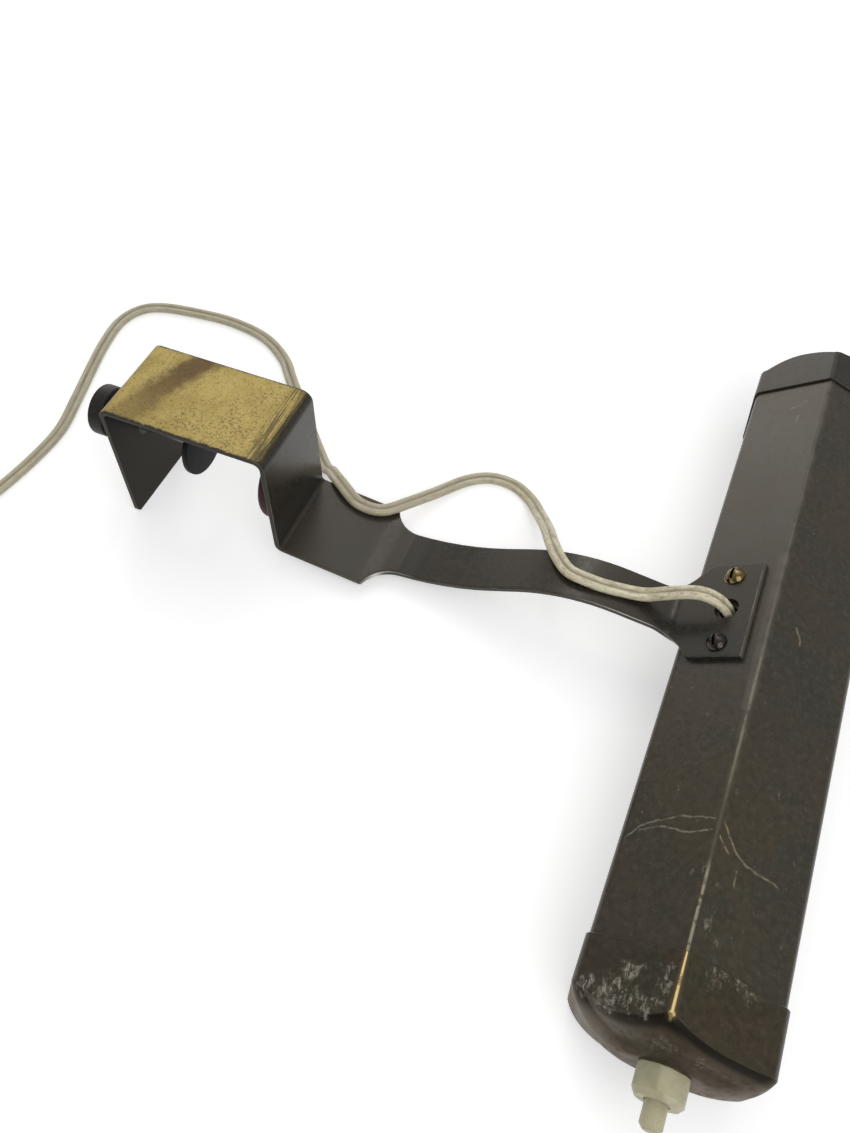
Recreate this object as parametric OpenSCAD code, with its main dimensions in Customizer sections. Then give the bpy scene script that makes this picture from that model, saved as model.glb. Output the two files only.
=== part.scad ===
// Clamp-on bed and picture light: a bent brass strip clamps over a board and carries a roofed tube shade.
// Millimetres. The origin is the middle of the saddle, the underside of the clamp's top plate.
// +X runs to the shade, +Y along the shade away from the switch, +Z up.

/* [Clamp] */
// Width of the brass strip at the clamp
strip_w = 38; // [34:1:42]
// Thickness of the brass strip
strip_t = 2; // [1.8:0.1:2.2]
// Clear distance between the two jaws
jaw_span = 63; // [60:1:70]
// Depth from the saddle to the lower edge of the outer jaw
jaw_drop = 56; // [55:1:60]
// Depth from the saddle to the upper face of the step plate
flange_drop = 46; // [44:1:47]
// Depth of the clamp screw below the saddle
screw_drop = 22; // [21:1:24]
// Gap between the two pads as drawn
board_gap = 30.2; // [28:0.2:33]
// Radius of the clamp screw
screw_r = 3; // [2.5:0.5:3]
// Radius of the round knob
knob_r = 10; // [9:0.5:12]
// Radius of the pressure pad on the screw
pad_r = 13; // [11:0.5:14]
// Radius of the fixed pad on the inner jaw
jaw_pad_r = 16.5; // [14:0.5:17]
// Depth of the fixed pad's middle below the saddle
jaw_pad_drop = 26.5; // [25:0.5:27]

/* [Arm] */
// Length of the step plate below the inner jaw
step_len = 33.5; // [30:0.5:36]
// Drop of the step plate along its length
step_fall = 3.8; // [3:0.1:4.2]
// Distance from the inner jaw to the foot of the rise
foot_x = 62.7; // [60:0.1:66]
// Distance from the inner jaw to the crest
crest_x = 109.9; // [106:0.1:114]
// Height of the crest's corner above the table
crest_h = 29.9; // [28:0.1:32]
// Width of the waist where the arm leaves the step plate
waist_near = 20; // [17:0.5:21]
// Width of the waist where the arm meets the shade
waist_far = 18.5; // [15:0.5:19]
// Width of the plate that is screwed to the shade
plate_w = 40; // [37:0.5:44]

/* [Shade] */
// Distance from the inner jaw's outer face to the ridge of the shade
reach = 175; // [173:1:180]
// Height of the ridge above the table
ridge_h = 44.9; // [44:0.1:46]
// Width of the roof face on the arm's side
roof_left = 29.6; // [29:0.1:31]
// Slope of the roof face on the arm's side, in degrees
slope_left = 35.6; // [34:0.2:37]
// Width of the other roof face
roof_right = 33.1; // [31:0.1:35]
// Slope of the other roof face, in degrees
slope_right = 22.8; // [21:0.2:25]
// Length of the shade over both end caps
shade_len = 280.6; // [270:0.2:300]
// Length of one end cap's sleeve, from its step to its end
cap_len = 25.3; // [24:0.1:28]
// Thickness of the shade's sheet
sheet_t = 1; // [0.8:0.1:1.2]
// Thickness of the end caps' sheet
cap_t = 0.8; // [0.7:0.1:1]

/* [Switch and lamp] */
// Height of the switch and the lamp above the table
axis_h = 23; // [22.5:0.1:24]
// Distance of the switch and the lamp from the ridge, away from the arm
axis_off = 5; // [4:0.1:6]
// Size of the switch collar across its flats
collar_af = 14; // [13:0.5:15]
// Radius of the push button
button_r = 3.2; // [3:0.1:3.4]
// Radius of the glass tube
lamp_r = 12.5; // [11.5:0.5:13]
// Length of the glass tube
lamp_len = 178; // [160:1:185]

/* [Cord] */
// Width of the flat twin cord
cord_w = 5.4; // [5:0.1:5.4]
// Thickness of the flat twin cord
cord_t = 2.7; // [2.4:0.1:2.7]

/* [Hidden] */
$fn = 64;

// Clearances
run_clear = 0.05;  // between a shaft and its bore
seat_clear = 0.1;  // between pieces that are pushed together
free_clear = 0.3;  // between pieces that pass each other

// Colours, as on the lamp
bronze = [0.23, 0.21, 0.18];
worn_brass = [0.60, 0.51, 0.31];
black = [0.13, 0.13, 0.14];
dark_red = [0.31, 0.08, 0.11];
ivory = [0.66, 0.63, 0.50];
steel = [0.55, 0.55, 0.54];
porcelain = [0.85, 0.84, 0.80];
flex = [0.74, 0.71, 0.60];

// Places along the clamp
z_rest = -jaw_drop;
jaw_x = -jaw_span / 2;
flange_x = jaw_span / 2;
flange_out = flange_x + strip_t;
jaw_pad_t = 6.3;
pad_t = 3.6;
pad_face = flange_x - jaw_pad_t - board_gap;
pad_back = pad_face - pad_t;
screw_len = 36;
knob_face = pad_back - screw_len;
knob_t = 6.4;
bush_len = 4;
bush_r = 6.5;
bush_neck = 4.5;
spigot_r = 2;
spigot_len = 2;

// The shade's section, seen along +Y, as its virtual corners
wall_lean = 4;
ridge = [flange_out + reach, z_rest + ridge_h];
eave_left = ridge - roof_left * [cos(slope_left), sin(slope_left)];
eave_right = ridge + roof_right * [cos(slope_right), -sin(slope_right)];
rim_z = z_rest + cap_t + seat_clear;
rim_left = [eave_left[0] + tan(wall_lean) * (eave_left[1] - rim_z), rim_z];
rim_right = [eave_right[0] - tan(wall_lean) * (eave_right[1] - rim_z), rim_z];
section = [rim_left, eave_left, ridge, eave_right, rim_right];
section_r = [2.5, 3, 2, 3, 2.5];
rim_lip = 4;
sleeve_y = shade_len / 2 - cap_len;
shade_end = shade_len / 2 - 14.5;

// The plate's own directions: down its slope, and out of the roof
down = -[cos(slope_left), sin(slope_left)];
out = [-sin(slope_left), cos(slope_left)];
plate_from = 5.9;     // from the ridge to the plate's upper edge
plate_to = 34.2;      // from the ridge to the bend below the plate
screws_at = 15.4;     // from the ridge to the two screws
screws_y = 14.25;
hole_at = 15.2;       // from the ridge to the cord hole
hole_r = 4.2;
cord_hole_r = cord_w / 2 + free_clear;  // in the shade, under the plate's hole
screw_hole_r = 2.2;
hole_top = ridge + hole_at * down + strip_t * out;

// The arm's middle line, seen along +Y, and its bend radii
foot_h = 5.8;
arm_line = [[jaw_x - strip_t / 2, z_rest],
    [jaw_x - strip_t / 2, strip_t / 2],
    [flange_x + strip_t / 2, strip_t / 2],
    [flange_x + strip_t / 2, -flange_drop - strip_t / 2],
    [flange_x + strip_t / 2 + step_len, -flange_drop - strip_t / 2 - step_fall],
    [flange_x + strip_t / 2 + foot_x, z_rest + foot_h],
    [flange_x + strip_t / 2 + crest_x, z_rest + crest_h],
    ridge + plate_to * down + strip_t / 2 * out,
    ridge + plate_from * down + strip_t / 2 * out];
arm_bends = [0, 2.5, 3.5, 2.5, 20, 100, 62, 7, 0];

// The arm's outline from above, as its far half, and its corner radii
notch_x = flange_out + step_len + 0.4;
flare_x = ridge[0] + (plate_from + 18.5) * down[0] - 1;
arm_half = [[jaw_x - 10, strip_w / 2], [notch_x, strip_w / 2], [notch_x + 3.6, waist_near / 2],
    [flare_x - 6.7, waist_far / 2], [flare_x, plate_w / 2], [ridge[0], plate_w / 2]];
arm_half_r = [0, 0.6, 13, 14, 2.5, 0];
jaw_corner_r = 2;

// The end caps' ends: a crease that lies back at the corners, a drawn-in shoulder and a low crown
dome_len = 3.6;       // from the crease to the shoulder
dome_in = 7;
dome_shift = 3.5;     // of the shoulder, away from the arm
dome_break = 25;      // slope at the crease and at the shoulder
dome_end = 70;
dome_r = 6;
dome_steps = 5;
crease_corner = [6, 5.5, 2.8, 1, 1];
crease_face = [6, 0, 0, 1, 3.5];
face_parts = 4;
crown_h = 2.6;
crown_flat = 0.63;    // size of the flat round the switch, as a share of the shoulder

// The switch and the lamp on their common axis
axis_at = [ridge[0] + axis_off, z_rest + axis_h];
cap_inside = -(shade_len / 2 - cap_t);
holder_plate_t = 1;
holder_plate_w = 13;
holder_back = cap_inside + 32;
body_face = cap_inside + holder_plate_t;
body_r = 7.2;
body_len = 20;
neck_r = 5;
neck_len = 8;
collar_len = 8;
button_tip = 7;
button_in = 10;
press = 3;
tab = [4, 3, 0.8];
holder_r = 12;
holder_len = 34;
cap_r = 6.9;
cap_in = 24;

// Degrees of turn for each point of a rounded corner, on strips and on lofts
fine_step = 6;
loft_step = 12;

// Helpers on points in a plane
function unit(v) = v / norm(v);
function left_of(v) = [-v[1], v[0]];
function turned(v, a) = [v[0] * cos(a) - v[1] * sin(a), v[0] * sin(a) + v[1] * cos(a)];
function reversed(list) = [for (i = [len(list) - 1:-1:0]) list[i]];

// The corner b between a and c as an arc of radius r, one point for each step of its turn
function arc_corner(a, b, c, r, step) =
    let (u = unit(a - b), v = unit(c - b), half = acos(u * v) / 2)
    r <= 0 || half > 89.9 ? [b] :
    let (centre = b + unit(u + v) * r / sin(half),
        start = b + u * r / tan(half) - centre,
        side = cross(u, v) > 0 ? -1 : 1,
        turn = 180 - 2 * half,
        n = max(2, ceil(turn / step)))
    [for (i = [0:n]) centre + turned(start, side * turn * i / n)];

// An open line with rounded corners, and a closed outline with rounded corners
function bent(p, r) = [for (i = [0:len(p) - 1])
    each i == 0 || i == len(p) - 1 ? [p[i]] : arc_corner(p[i - 1], p[i], p[i + 1], r[i], fine_step)];
function rounded(p, r, step) = let (n = len(p)) [for (i = [0:n - 1])
    each arc_corner(p[(i + n - 1) % n], p[i], p[(i + 1) % n], r[i], step)];

// A corner moved by d to the left of both of its edges
function moved(p, n0, n1, d) = p + (n0 + n1) * d / (1 + n0 * n1);
function beside(p, d) = let (m = len(p) - 1) [for (i = [0:m])
    let (n0 = left_of(unit(p[max(i, 1)] - p[max(i, 1) - 1])),
        n1 = left_of(unit(p[min(i, m - 1) + 1] - p[min(i, m - 1)])))
    moved(p[i], n0, n1, d)];
function grown(p, d) = let (n = len(p)) [for (i = [0:n - 1])
    let (n0 = left_of(unit(p[i] - p[(i + n - 1) % n])), n1 = left_of(unit(p[(i + 1) % n] - p[i])))
    moved(p[i], n0, n1, d)];

// The bend radii on one side of a line, larger outside a bend and smaller inside it
function side_bends(p, r, d) = [for (i = [0:len(p) - 1])
    i == 0 || i == len(p) - 1 ? 0 :
    r[i] - d * sign(cross(p[i] - p[i - 1], p[i + 1] - p[i]))];

// The outline of a strip of thickness t along a bent middle line
function strip_outline(p, r, t) = concat(
    bent(beside(p, t / 2), side_bends(p, r, t / 2)),
    reversed(bent(beside(p, -t / 2), side_bends(p, r, -t / 2))));

// Helpers on solids
module along_y(y0, y1) translate([0, y1, 0]) rotate([90, 0, 0]) linear_extrude(y1 - y0) children();
module along_x(x0, drop = screw_drop) translate([x0, 0, -drop]) rotate([0, 90, 0]) children();
module on_axis(y) translate([axis_at[0], y, axis_at[1]]) rotate([-90, 0, 0]) children();
module on_plate(u, y) let (at = ridge + u * down)
    translate([at[0], y, at[1]]) rotate([0, -slope_left, 0]) children();
module hexagon(af) circle(d = af / cos(30), $fn = 6);
module revolved(points) rotate_extrude() polygon(points);

// A closed solid through rings of equally many points, first ring to last
module loft(rings) {
    n = len(rings[0]);
    last = (len(rings) - 1) * n;
    sides = [for (i = [0:len(rings) - 2], j = [0:n - 1])
        let (a = i * n + j, b = i * n + (j + 1) % n)
        each [[a, b + n, b], [a, a + n, b + n]]];
    ends = [for (j = [1:n - 2]) each [[0, j, j + 1], [last, last + j + 1, last + j]]];
    polyhedron([for (r = rings) each r], concat(sides, ends));
}

// A solid swept along points, its profile's first direction kept level
module swept(p, profile, first, last) {
    m = len(p) - 1;
    loft([for (i = [0:m])
        let (t = i == 0 ? unit(first) : i == m ? unit(last) : unit(p[i + 1] - p[i - 1]),
            w = unit(cross([0, 0, 1], t)), h = cross(t, w))
        [for (q = profile) p[i] + q[0] * w + q[1] * h]]);
}

// Points halfway along a smooth curve through the given ones, added between them
function smoothed(p) = let (m = len(p) - 1) [for (i = [0:m])
    each i == m ? [p[m]] :
    let (a = p[max(i - 1, 0)], d = p[min(i + 2, m)])
    [p[i], (9 * (p[i] + p[i + 1]) - a - d) / 16]];

// The clamp and arm

module arm_plan() {
    far = bent(arm_half, arm_half_r);
    polygon(concat(far, [for (q = reversed(far)) [q[0], -q[1]]]));
}

module jaw_corners() {
    for (s = [-1, 1])
        translate([jaw_x - strip_t - 1, s * (strip_w / 2 - jaw_corner_r), z_rest + jaw_corner_r])
            rotate([0, 90, 0]) linear_extrude(strip_t + 2) difference() {
                translate([0, s > 0 ? 0 : -jaw_corner_r - 1]) square(jaw_corner_r + 1);
                circle(jaw_corner_r);
            }
}

module arm_bracket() color(bronze) difference() {
    intersection() {
        along_y(-plate_w, plate_w) polygon(strip_outline(arm_line, arm_bends, strip_t));
        translate([0, 0, z_rest - 1]) linear_extrude(jaw_drop + strip_t + 2) arm_plan();
    }
    jaw_corners();
    along_x(jaw_x - strip_t - 1) cylinder(r = bush_neck + seat_clear, h = strip_t + 2);
    for (s = [-1, 1]) on_plate(screws_at, s * screws_y) cylinder(r = screw_hole_r, h = 3 * strip_t);
    on_plate(hole_at, 0) cylinder(r = hole_r, h = 3 * strip_t);
}

module screw_bush() color(bronze) along_x(jaw_x - strip_t - bush_len) difference() {
    union() {
        cylinder(r1 = bush_r - 0.8, r2 = bush_r, h = 0.8);
        translate([0, 0, 0.8]) cylinder(r = bush_r, h = bush_len - 0.8);
        cylinder(r = bush_neck, h = bush_len + strip_t);
    }
    translate([0, 0, -1]) cylinder(r = screw_r + run_clear, h = bush_len + strip_t + 2);
}

knob_bore = 4;
module clamp_screw() color(steel) {
    along_x(knob_face - knob_bore + seat_clear) {
        cylinder(r = screw_r, h = screw_len + knob_bore - 2 * seat_clear);
        cylinder(r = spigot_r, h = screw_len + knob_bore - 2 * seat_clear + spigot_len);
    }
}

knob_edge = 0.8;
module clamp_knob() color(black) along_x(knob_face - knob_t) difference() {
    revolved([[0, 0.4], [knob_r * 0.6, 0.4], [knob_r * 0.7, 0], [knob_r - knob_edge, 0],
        [knob_r, knob_edge], [knob_r, knob_t - knob_edge], [knob_r - knob_edge, knob_t], [0, knob_t]]);
    translate([0, 0, knob_t - knob_bore]) cylinder(r = screw_r + run_clear, h = knob_bore + 1);
}

module pressure_pad() color(black) along_x(pad_back) difference() {
    revolved([[0, 0], [pad_r - 3, 0], [pad_r - 2.4, 1.4], [pad_r - 0.4, 1.4], [pad_r, 1.8],
        [pad_r, pad_t - 0.8], [pad_r - 0.8, pad_t], [0, pad_t]]);
    translate([0, 0, -1]) cylinder(r = spigot_r + run_clear, h = spigot_len + 1 + run_clear);
}

jaw_pad_edge = 1.2;
module jaw_pad() color(dark_red) along_x(flange_x - jaw_pad_t, jaw_pad_drop)
    revolved([[0, 0], [jaw_pad_r - jaw_pad_edge, 0], [jaw_pad_r - jaw_pad_edge / 3, jaw_pad_edge / 3],
        [jaw_pad_r, jaw_pad_edge], [jaw_pad_r, jaw_pad_t], [0, jaw_pad_t]]);

// The shade and its end caps

module shade() color(bronze) {
    middle = grown(section, -sheet_t / 2);
    line = concat([middle[0] + [rim_lip, 0]], middle, [middle[4] - [rim_lip, 0]]);
    bends = concat([0], [for (r = section_r) r - sheet_t / 2], [0]);
    difference() {
        along_y(-shade_end, shade_end) polygon(strip_outline(line, bends, sheet_t));
        for (s = [-1, 1]) on_plate(screws_at, s * screws_y)
            translate([0, 0, -3 * sheet_t]) cylinder(r = screw_hole_r, h = 4 * sheet_t);
        on_plate(hole_at, 0) translate([0, 0, -3 * sheet_t])
            cylinder(r = cord_hole_r, h = 4 * sheet_t);
    }
}

// One ring of an end cap: the section grown by g, drawn in by d, its corners eased by e, moved by x.
// It lies at y, less a share f of the crease's distance back at the corners and along the faces
function cap_ring(g, d, e, x, y, f) =
    let (p = grown(section, g - d), n = len(p),
        arcs = [for (i = [0:n - 1]) arc_corner(p[(i + n - 1) % n], p[i], p[(i + 1) % n],
            section_r[i] + g + e, loft_step)])
    [for (i = [0:n - 1])
        let (to = (i + 1) % n, a = arcs[i][len(arcs[i]) - 1], c = arcs[to][0])
        each concat([for (q = arcs[i]) [q[0] + x, y - f * crease_corner[i], q[1]]],
            [for (k = [1:face_parts - 1])
                let (t = k / face_parts, q = a + t * (c - a), w = pow(2 * t - 1, 2),
                    back = crease_corner[t < 0.5 ? i : to] * w + crease_face[i] * (1 - w))
                [q[0] + x, y - f * back, q[1]]])];

// A ring drawn together to the share k about the switch's axis, and raised by h
function drawn_ring(ring, k, h) = [for (q = ring)
    [axis_at[0] + k * (q[0] - axis_at[0]), q[1] + h, axis_at[1] + k * (q[2] - axis_at[1])]];

// The rings of an end cap from y0 to its end at y1
function cap_rings(g, y0, y1) =
    let (dome = [for (i = [0:dome_steps])
        let (a = dome_break + (dome_end - dome_break) * i / dome_steps,
            s = (sin(a) - sin(dome_break)) / (sin(dome_end) - sin(dome_break)),
            q = (cos(dome_break) - cos(a)) / (cos(dome_break) - cos(dome_end)))
        cap_ring(g, dome_in * q, dome_r * s, dome_shift * q, y1 - crown_h - dome_len * (1 - s), 1 - s)])
    concat([cap_ring(g, 0, 0, 0, y0, 0)], dome,
        [drawn_ring(dome[dome_steps], (1 + crown_flat) / 2, crown_h * 0.6),
            drawn_ring(dome[dome_steps], crown_flat, crown_h)]);

module end_cap() difference() {
    loft(cap_rings(seat_clear + cap_t, sleeve_y, shade_len / 2));
    loft(cap_rings(seat_clear, sleeve_y - 1, shade_len / 2 - cap_t));
}

module far_end_cap() color(bronze) end_cap();

module switch_end_cap() color(bronze) difference() {
    mirror([0, 1, 0]) end_cap();
    on_axis(cap_inside - 2 * cap_t) cylinder(r = neck_r + seat_clear, h = 4 * cap_t);
}

// The screws that hold the plate to the shade

head_r = 3.7;
head_h = 2.7;
shank_r = 2;
slot_w = 0.9;
slot_deep = 1.3;
washer_t = 0.8;
nut_t = 3.2;
under = sheet_t;
module bracket_screws() color(worn_brass) for (s = [-1, 1]) on_plate(screws_at, s * screws_y) {
    translate([0, 0, -under - washer_t - nut_t - 1.5])
        cylinder(r = shank_r, h = under + washer_t + nut_t + 1.5 + strip_t);
    translate([0, 0, strip_t]) difference() {
        intersection() {
            translate([0, 0, head_h - head_r]) sphere(head_r);
            cylinder(r = head_r, h = head_h + 1);
        }
        rotate(s * 12) translate([-slot_w / 2, -head_r - 1, head_h - slot_deep])
            cube([slot_w, 2 * head_r + 2, slot_deep + 1]);
    }
}

module bracket_washers() color(steel) for (s = [-1, 1]) on_plate(screws_at, s * screws_y)
    translate([0, 0, -under - washer_t]) difference() {
        cylinder(r = 4.5, h = washer_t);
        translate([0, 0, -1]) cylinder(r = screw_hole_r, h = washer_t + 2);
    }

module bracket_nuts() color(worn_brass) for (s = [-1, 1]) on_plate(screws_at, s * screws_y)
    translate([0, 0, -under - washer_t - nut_t]) difference() {
        linear_extrude(nut_t) hexagon(7);
        translate([0, 0, -1]) cylinder(r = shank_r + run_clear, h = nut_t + 2);
    }

// The push switch in the near end cap

switch_tab_y = body_face + 13;
switch_tab_x = body_r + 1;

module switch_tabs(grow) for (s = [-1, 1])
    translate([axis_at[0] + s * switch_tab_x, switch_tab_y, axis_at[1]])
        cube([tab[0] + 2 * grow, tab[1] + 2 * grow, tab[2] + 2 * grow], center = true);

module switch_body() color(ivory) difference() {
    on_axis(body_face) {
        cylinder(r = body_r, h = body_len);
        translate([0, 0, -neck_len - holder_plate_t]) cylinder(r = neck_r, h = neck_len + 2);
    }
    on_axis(body_face - neck_len - 2)
        cylinder(r = button_r + run_clear, h = neck_len + 2 + button_in + press + 0.5);
    switch_tabs(run_clear);
}

module switch_terminals() color(worn_brass) switch_tabs(0);

collar_lip = 0.8;
module switch_collar() color(ivory) on_axis(-shade_len / 2 - collar_len) difference() {
    intersection() {
        rotate(30 - 12) linear_extrude(collar_len) hexagon(collar_af);
        revolved([[0, 0], [collar_af / 2 - 0.6, 0], [collar_af / 2 + 1.2, 1.4],
            [collar_af / 2 + 1.2, collar_len - 0.4], [collar_af / 2 + 0.6, collar_len],
            [0, collar_len]]);
    }
    translate([0, 0, collar_lip]) cylinder(r = neck_r + seat_clear, h = collar_len);
    translate([0, 0, -1]) cylinder(r = button_r + free_clear, h = collar_len);
}

button_bevel = 1.4;
module switch_button() color(ivory) on_axis(-shade_len / 2 - collar_len - button_tip) {
    revolved([[0, 0], [button_r - button_bevel, 0], [button_r, button_bevel],
        [button_r, collar_len + button_tip + button_in - 1],
        [0, collar_len + button_tip + button_in - 1]]);
}

// The lamp and its holder

holder_drop = body_r + 1.2;
nipple_len = 6;
module holder_bracket() color(steel) {
    for (y = [cap_inside, holder_back - holder_plate_t]) on_axis(y) linear_extrude(holder_plate_t)
        difference() {
            union() {
                circle(d = holder_plate_w);
                translate([-holder_plate_w / 2, 0])
                    square([holder_plate_w, holder_drop + holder_plate_t]);
            }
            circle(neck_r + seat_clear);
        }
    translate([axis_at[0] - holder_plate_w / 2, cap_inside,
        axis_at[1] - holder_drop - holder_plate_t])
        cube([holder_plate_w, holder_back - cap_inside, holder_plate_t]);
}

holder_tab_y = holder_back + 8;
holder_tab_z = axis_at[1] - 5;
module holder_tabs(grow) for (s = [-1, 1])
    translate([axis_at[0] + s * (holder_r + 0.5), holder_tab_y, holder_tab_z])
        cube([tab[0] + 2 * grow, tab[1] + 2 * grow, tab[2] + 2 * grow], center = true);

holder_floor = holder_len - cap_in - 1;
module lampholder() color(porcelain) difference() {
    union() {
        on_axis(holder_back) revolved([[0, 0], [holder_r - 1.5, 0], [holder_r, 1.5],
            [holder_r, 14], [holder_r - 1, 15], [holder_r - 1, holder_len - 2],
            [holder_r - 2, holder_len], [0, holder_len]]);
        on_axis(holder_back - nipple_len) cylinder(r = neck_r, h = nipple_len + 1);
    }
    on_axis(holder_back + holder_floor) cylinder(r = cap_r + free_clear, h = holder_len);
    on_axis(holder_back - nipple_len - 1) cylinder(r = 3, h = nipple_len + 4);
    holder_tabs(run_clear);
}

module holder_terminals() color(worn_brass) holder_tabs(0);

module holder_nut() color(worn_brass) on_axis(holder_back - holder_plate_t - 3) difference() {
    linear_extrude(3) hexagon(14);
    translate([0, 0, -1]) cylinder(r = neck_r + run_clear, h = 5);
}

lamp_y = holder_back + holder_floor + free_clear + cap_in;
module lamp_cap() color(worn_brass) on_axis(lamp_y - cap_in)
    revolved([[0, 0], [2.5, 0], [2.5, 1.2], [4, 2.4], [cap_r - 0.6, 4], [cap_r, 5], [cap_r, cap_in],
        [cap_r - 0.5, cap_in], [cap_r - 0.5, 6], [0, 5.4]]);

glass_t = 0.8;
neck_y = 12;
module lamp_glass() color(porcelain) on_axis(lamp_y) rotate_extrude() difference() {
    glass_profile(0);
    glass_profile(glass_t);
}

// Half of the glass tube's section, drawn in by d: a neck, a shoulder, a tube and a round end
module glass_profile(d) difference() {
    union() {
        translate([0, -d]) square([cap_r - d, neck_y + d]);
        polygon([[0, 4], [cap_r - d, 4], [lamp_r - d, neck_y], [0, neck_y]]);
        translate([0, neck_y]) square([lamp_r - d, lamp_len - neck_y - lamp_r]);
        translate([0, lamp_len - lamp_r]) circle(lamp_r - d);
    }
    translate([-lamp_r - 1, -2]) square([lamp_r + 1, lamp_len + 4]);
}

// The wires inside the shade, as points from the lamp's axis: right, along Y, and up

lead_r = 1.1;
lead_round = [for (i = [0:7]) lead_r * [cos(i * 45), sin(i * 45)]];
function in_shade(p) = [for (q = p) [axis_at[0] + q[0], q[1], axis_at[1] + q[2]]];
cord_in = [hole_top[0] - 4.3 * out[0], 0, hole_top[1] - 4.3 * out[1]];
inward = [-out[0], 0, -out[1]];
lead_gap = 1.35;
left_tab = switch_tab_x + tab[0] / 2;
switch_lead_end = [-left_tab, switch_tab_y, 0];
holder_lead_end = [-holder_r - 0.5 - tab[0] / 2, holder_tab_y, holder_tab_z - axis_at[1]];

module lead(start, p, first, last) color(flex) swept(smoothed(concat(start, in_shade(p))),
    lead_round, first, last);

module switch_lead() lead([cord_in + [0, -lead_gap, 0], cord_in + [0, -lead_gap, 0] + 2 * inward],
    [[-15.5, -4, 4.5], [-18.5, -10, 1.2], [-21, -20, -0.2], [-21.5, switch_tab_y / 3, -0.5],
        [-21.5, switch_tab_y * 2 / 3, -0.5], [-20.5, switch_tab_y + 13.5, -0.2],
        [-17, switch_tab_y + 2.5, 0], switch_lead_end - [2, 0, 0], switch_lead_end],
    inward, [1, 0, 0]);

module holder_lead() lead([cord_in + [0, lead_gap, 0], cord_in + [0, lead_gap, 0] + 2 * inward],
    [[-14.8, 1, 3.2], [-16.2, -5, -2.5], [-19.5, -15, -5], [-21, holder_tab_y / 3, -5.5],
        [-21, holder_tab_y * 2 / 3, -5.5], [-20.5, holder_tab_y + 14.5, -5.5],
        [-18.5, holder_tab_y + 4, -5.2], holder_lead_end - [2, 0, 0], holder_lead_end],
    inward, [1, 0, 0]);

module link_lead() lead([],
    [[left_tab, switch_tab_y, 0], [left_tab + 2, switch_tab_y, 0], [17, switch_tab_y + 2.5, -0.6],
        [19, switch_tab_y + 8.5, -2], [19.5, holder_tab_y - 10.5, -3.5],
        [18.5, holder_tab_y - 3.5, -4.6],
        [holder_r + 4.5, holder_tab_y, holder_tab_z - axis_at[1]],
        [holder_r + 2.5, holder_tab_y, holder_tab_z - axis_at[1]]],
    [1, 0, 0], [-1, 0, 0]);

// The cord: out of its hole, over the arm, round on the table and over the step plate,
// as points from the hole, from the crest, and from the inner jaw's foot on the table

from_hole = [[-3.3, 0, 2.6], [-8, 0, 3.7], [-13, 0, 2.2], [-20, 0, -2.6], [-27.5, -0.5, -6.9]];
from_crest = [[13, -2, 0.7], [5, -2, 1], [-1.5, -0.3, 0.2], [-7, 5, -1], [-11.5, 13, -5],
    [-16.5, 24.5, -12.5]];
from_jaw = [[85.5, 39, 6], [79, 48, 1.7], [70.5, 52.5, 1.5], [60.5, 52.5, 1.5], [51.5, 47, 1.6],
    [43, 35, 3.4], [36.5, 24, 6.8], [28.5, 14.5, 8.5], [18.5, 13.3, 9.5], [8.5, 18.5, 11.3],
    [0.5, 25.5, 7.6], [-8.5, 34, 1.9], [-40.5, 69.5, 1.5], [-51.5, 82, 1.5], [-66.5, 91.5, 1.5],
    [-85.5, 95.2, 1.5], [-103.5, 94.3, 1.5], [-120.5, 91.5, 1.5], [-130, 86, 1.5],
    [-134.5, 75, 1.5], [-133, 59, 1.5], [-129, 42, 1.5], [-124, 23, 1.5], [-120, 5, 1.5],
    [-121, -15, 1.5], [-124.5, -35, 1.6], [-128, -50, 2.3], [-129.5, -59, 2.7], [-129.5, -64, 2.7]];
crest_at = arm_line[6];
route = concat([cord_in, [hole_top[0], 0, hole_top[1]]],
    [for (q = from_hole) [hole_top[0] + q[0], q[1], hole_top[1] + q[2]]],
    [for (q = from_crest) [crest_at[0] + q[0], q[1], crest_at[1] + q[2]]],
    [for (q = from_jaw) [flange_out + q[0], q[1], z_rest + q[2]]]);

// The twin cord's outline: two round cores with a groove between them
core_r = cord_t / 2;
groove = 0.75;
function core(s) = [for (a = [-110:55:110])
    [s * (cord_w / 2 - core_r + core_r * cos(a)), s * core_r * sin(a)]];
twin = concat([[0, groove]], core(-1), [[0, -groove]], core(1));

module cord() color(flex) swept(smoothed(route), twin, -inward, [0, -1, 0]);

// The coil of the rest of the cord: in on the lower layer, up a layer, and out again

coil_r = 36;
coil_pitch = 6;
coil_turns = 3 + 1 / 3;
coil_step = 15;
layer_z = cord_t + 0.6;
coil_first = route[len(route) - 1];
coil_start = coil_first - [0, cord_w, 0];
coil_centre = [coil_start[0] - coil_r, coil_start[1], coil_start[2]];
coil_all = 2 * coil_turns + 0.5;
tail = 28;
function coil_radius(n) = coil_r - coil_pitch * min(coil_turns, n, coil_all - n);
function coil_height(n) = layer_z * min(1, max(0, 2 * (n - coil_turns)));
function coil_point(n) = coil_centre
    + [coil_radius(n) * cos(-360 * n), coil_radius(n) * sin(-360 * n), coil_height(n)];
coil_exit = coil_point(coil_all);
exit_angle = -360 * coil_all;
heading = [sin(exit_angle), -cos(exit_angle), 0];
plug_at = [coil_exit[0] + tail * heading[0], coil_exit[1] + tail * heading[1], z_rest + 7];
coil_points = concat([coil_first],
    [for (i = [0:coil_all * 360 / coil_step]) coil_point(i * coil_step / 360)],
    [coil_exit + 9 * heading + [0, 0, 0.2], plug_at - 7 * heading, plug_at]);
coil_flat = [for (a = [0:60:300]) [cord_w / 2 * cos(a), core_r * sin(a) / sin(60)]];

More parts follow.
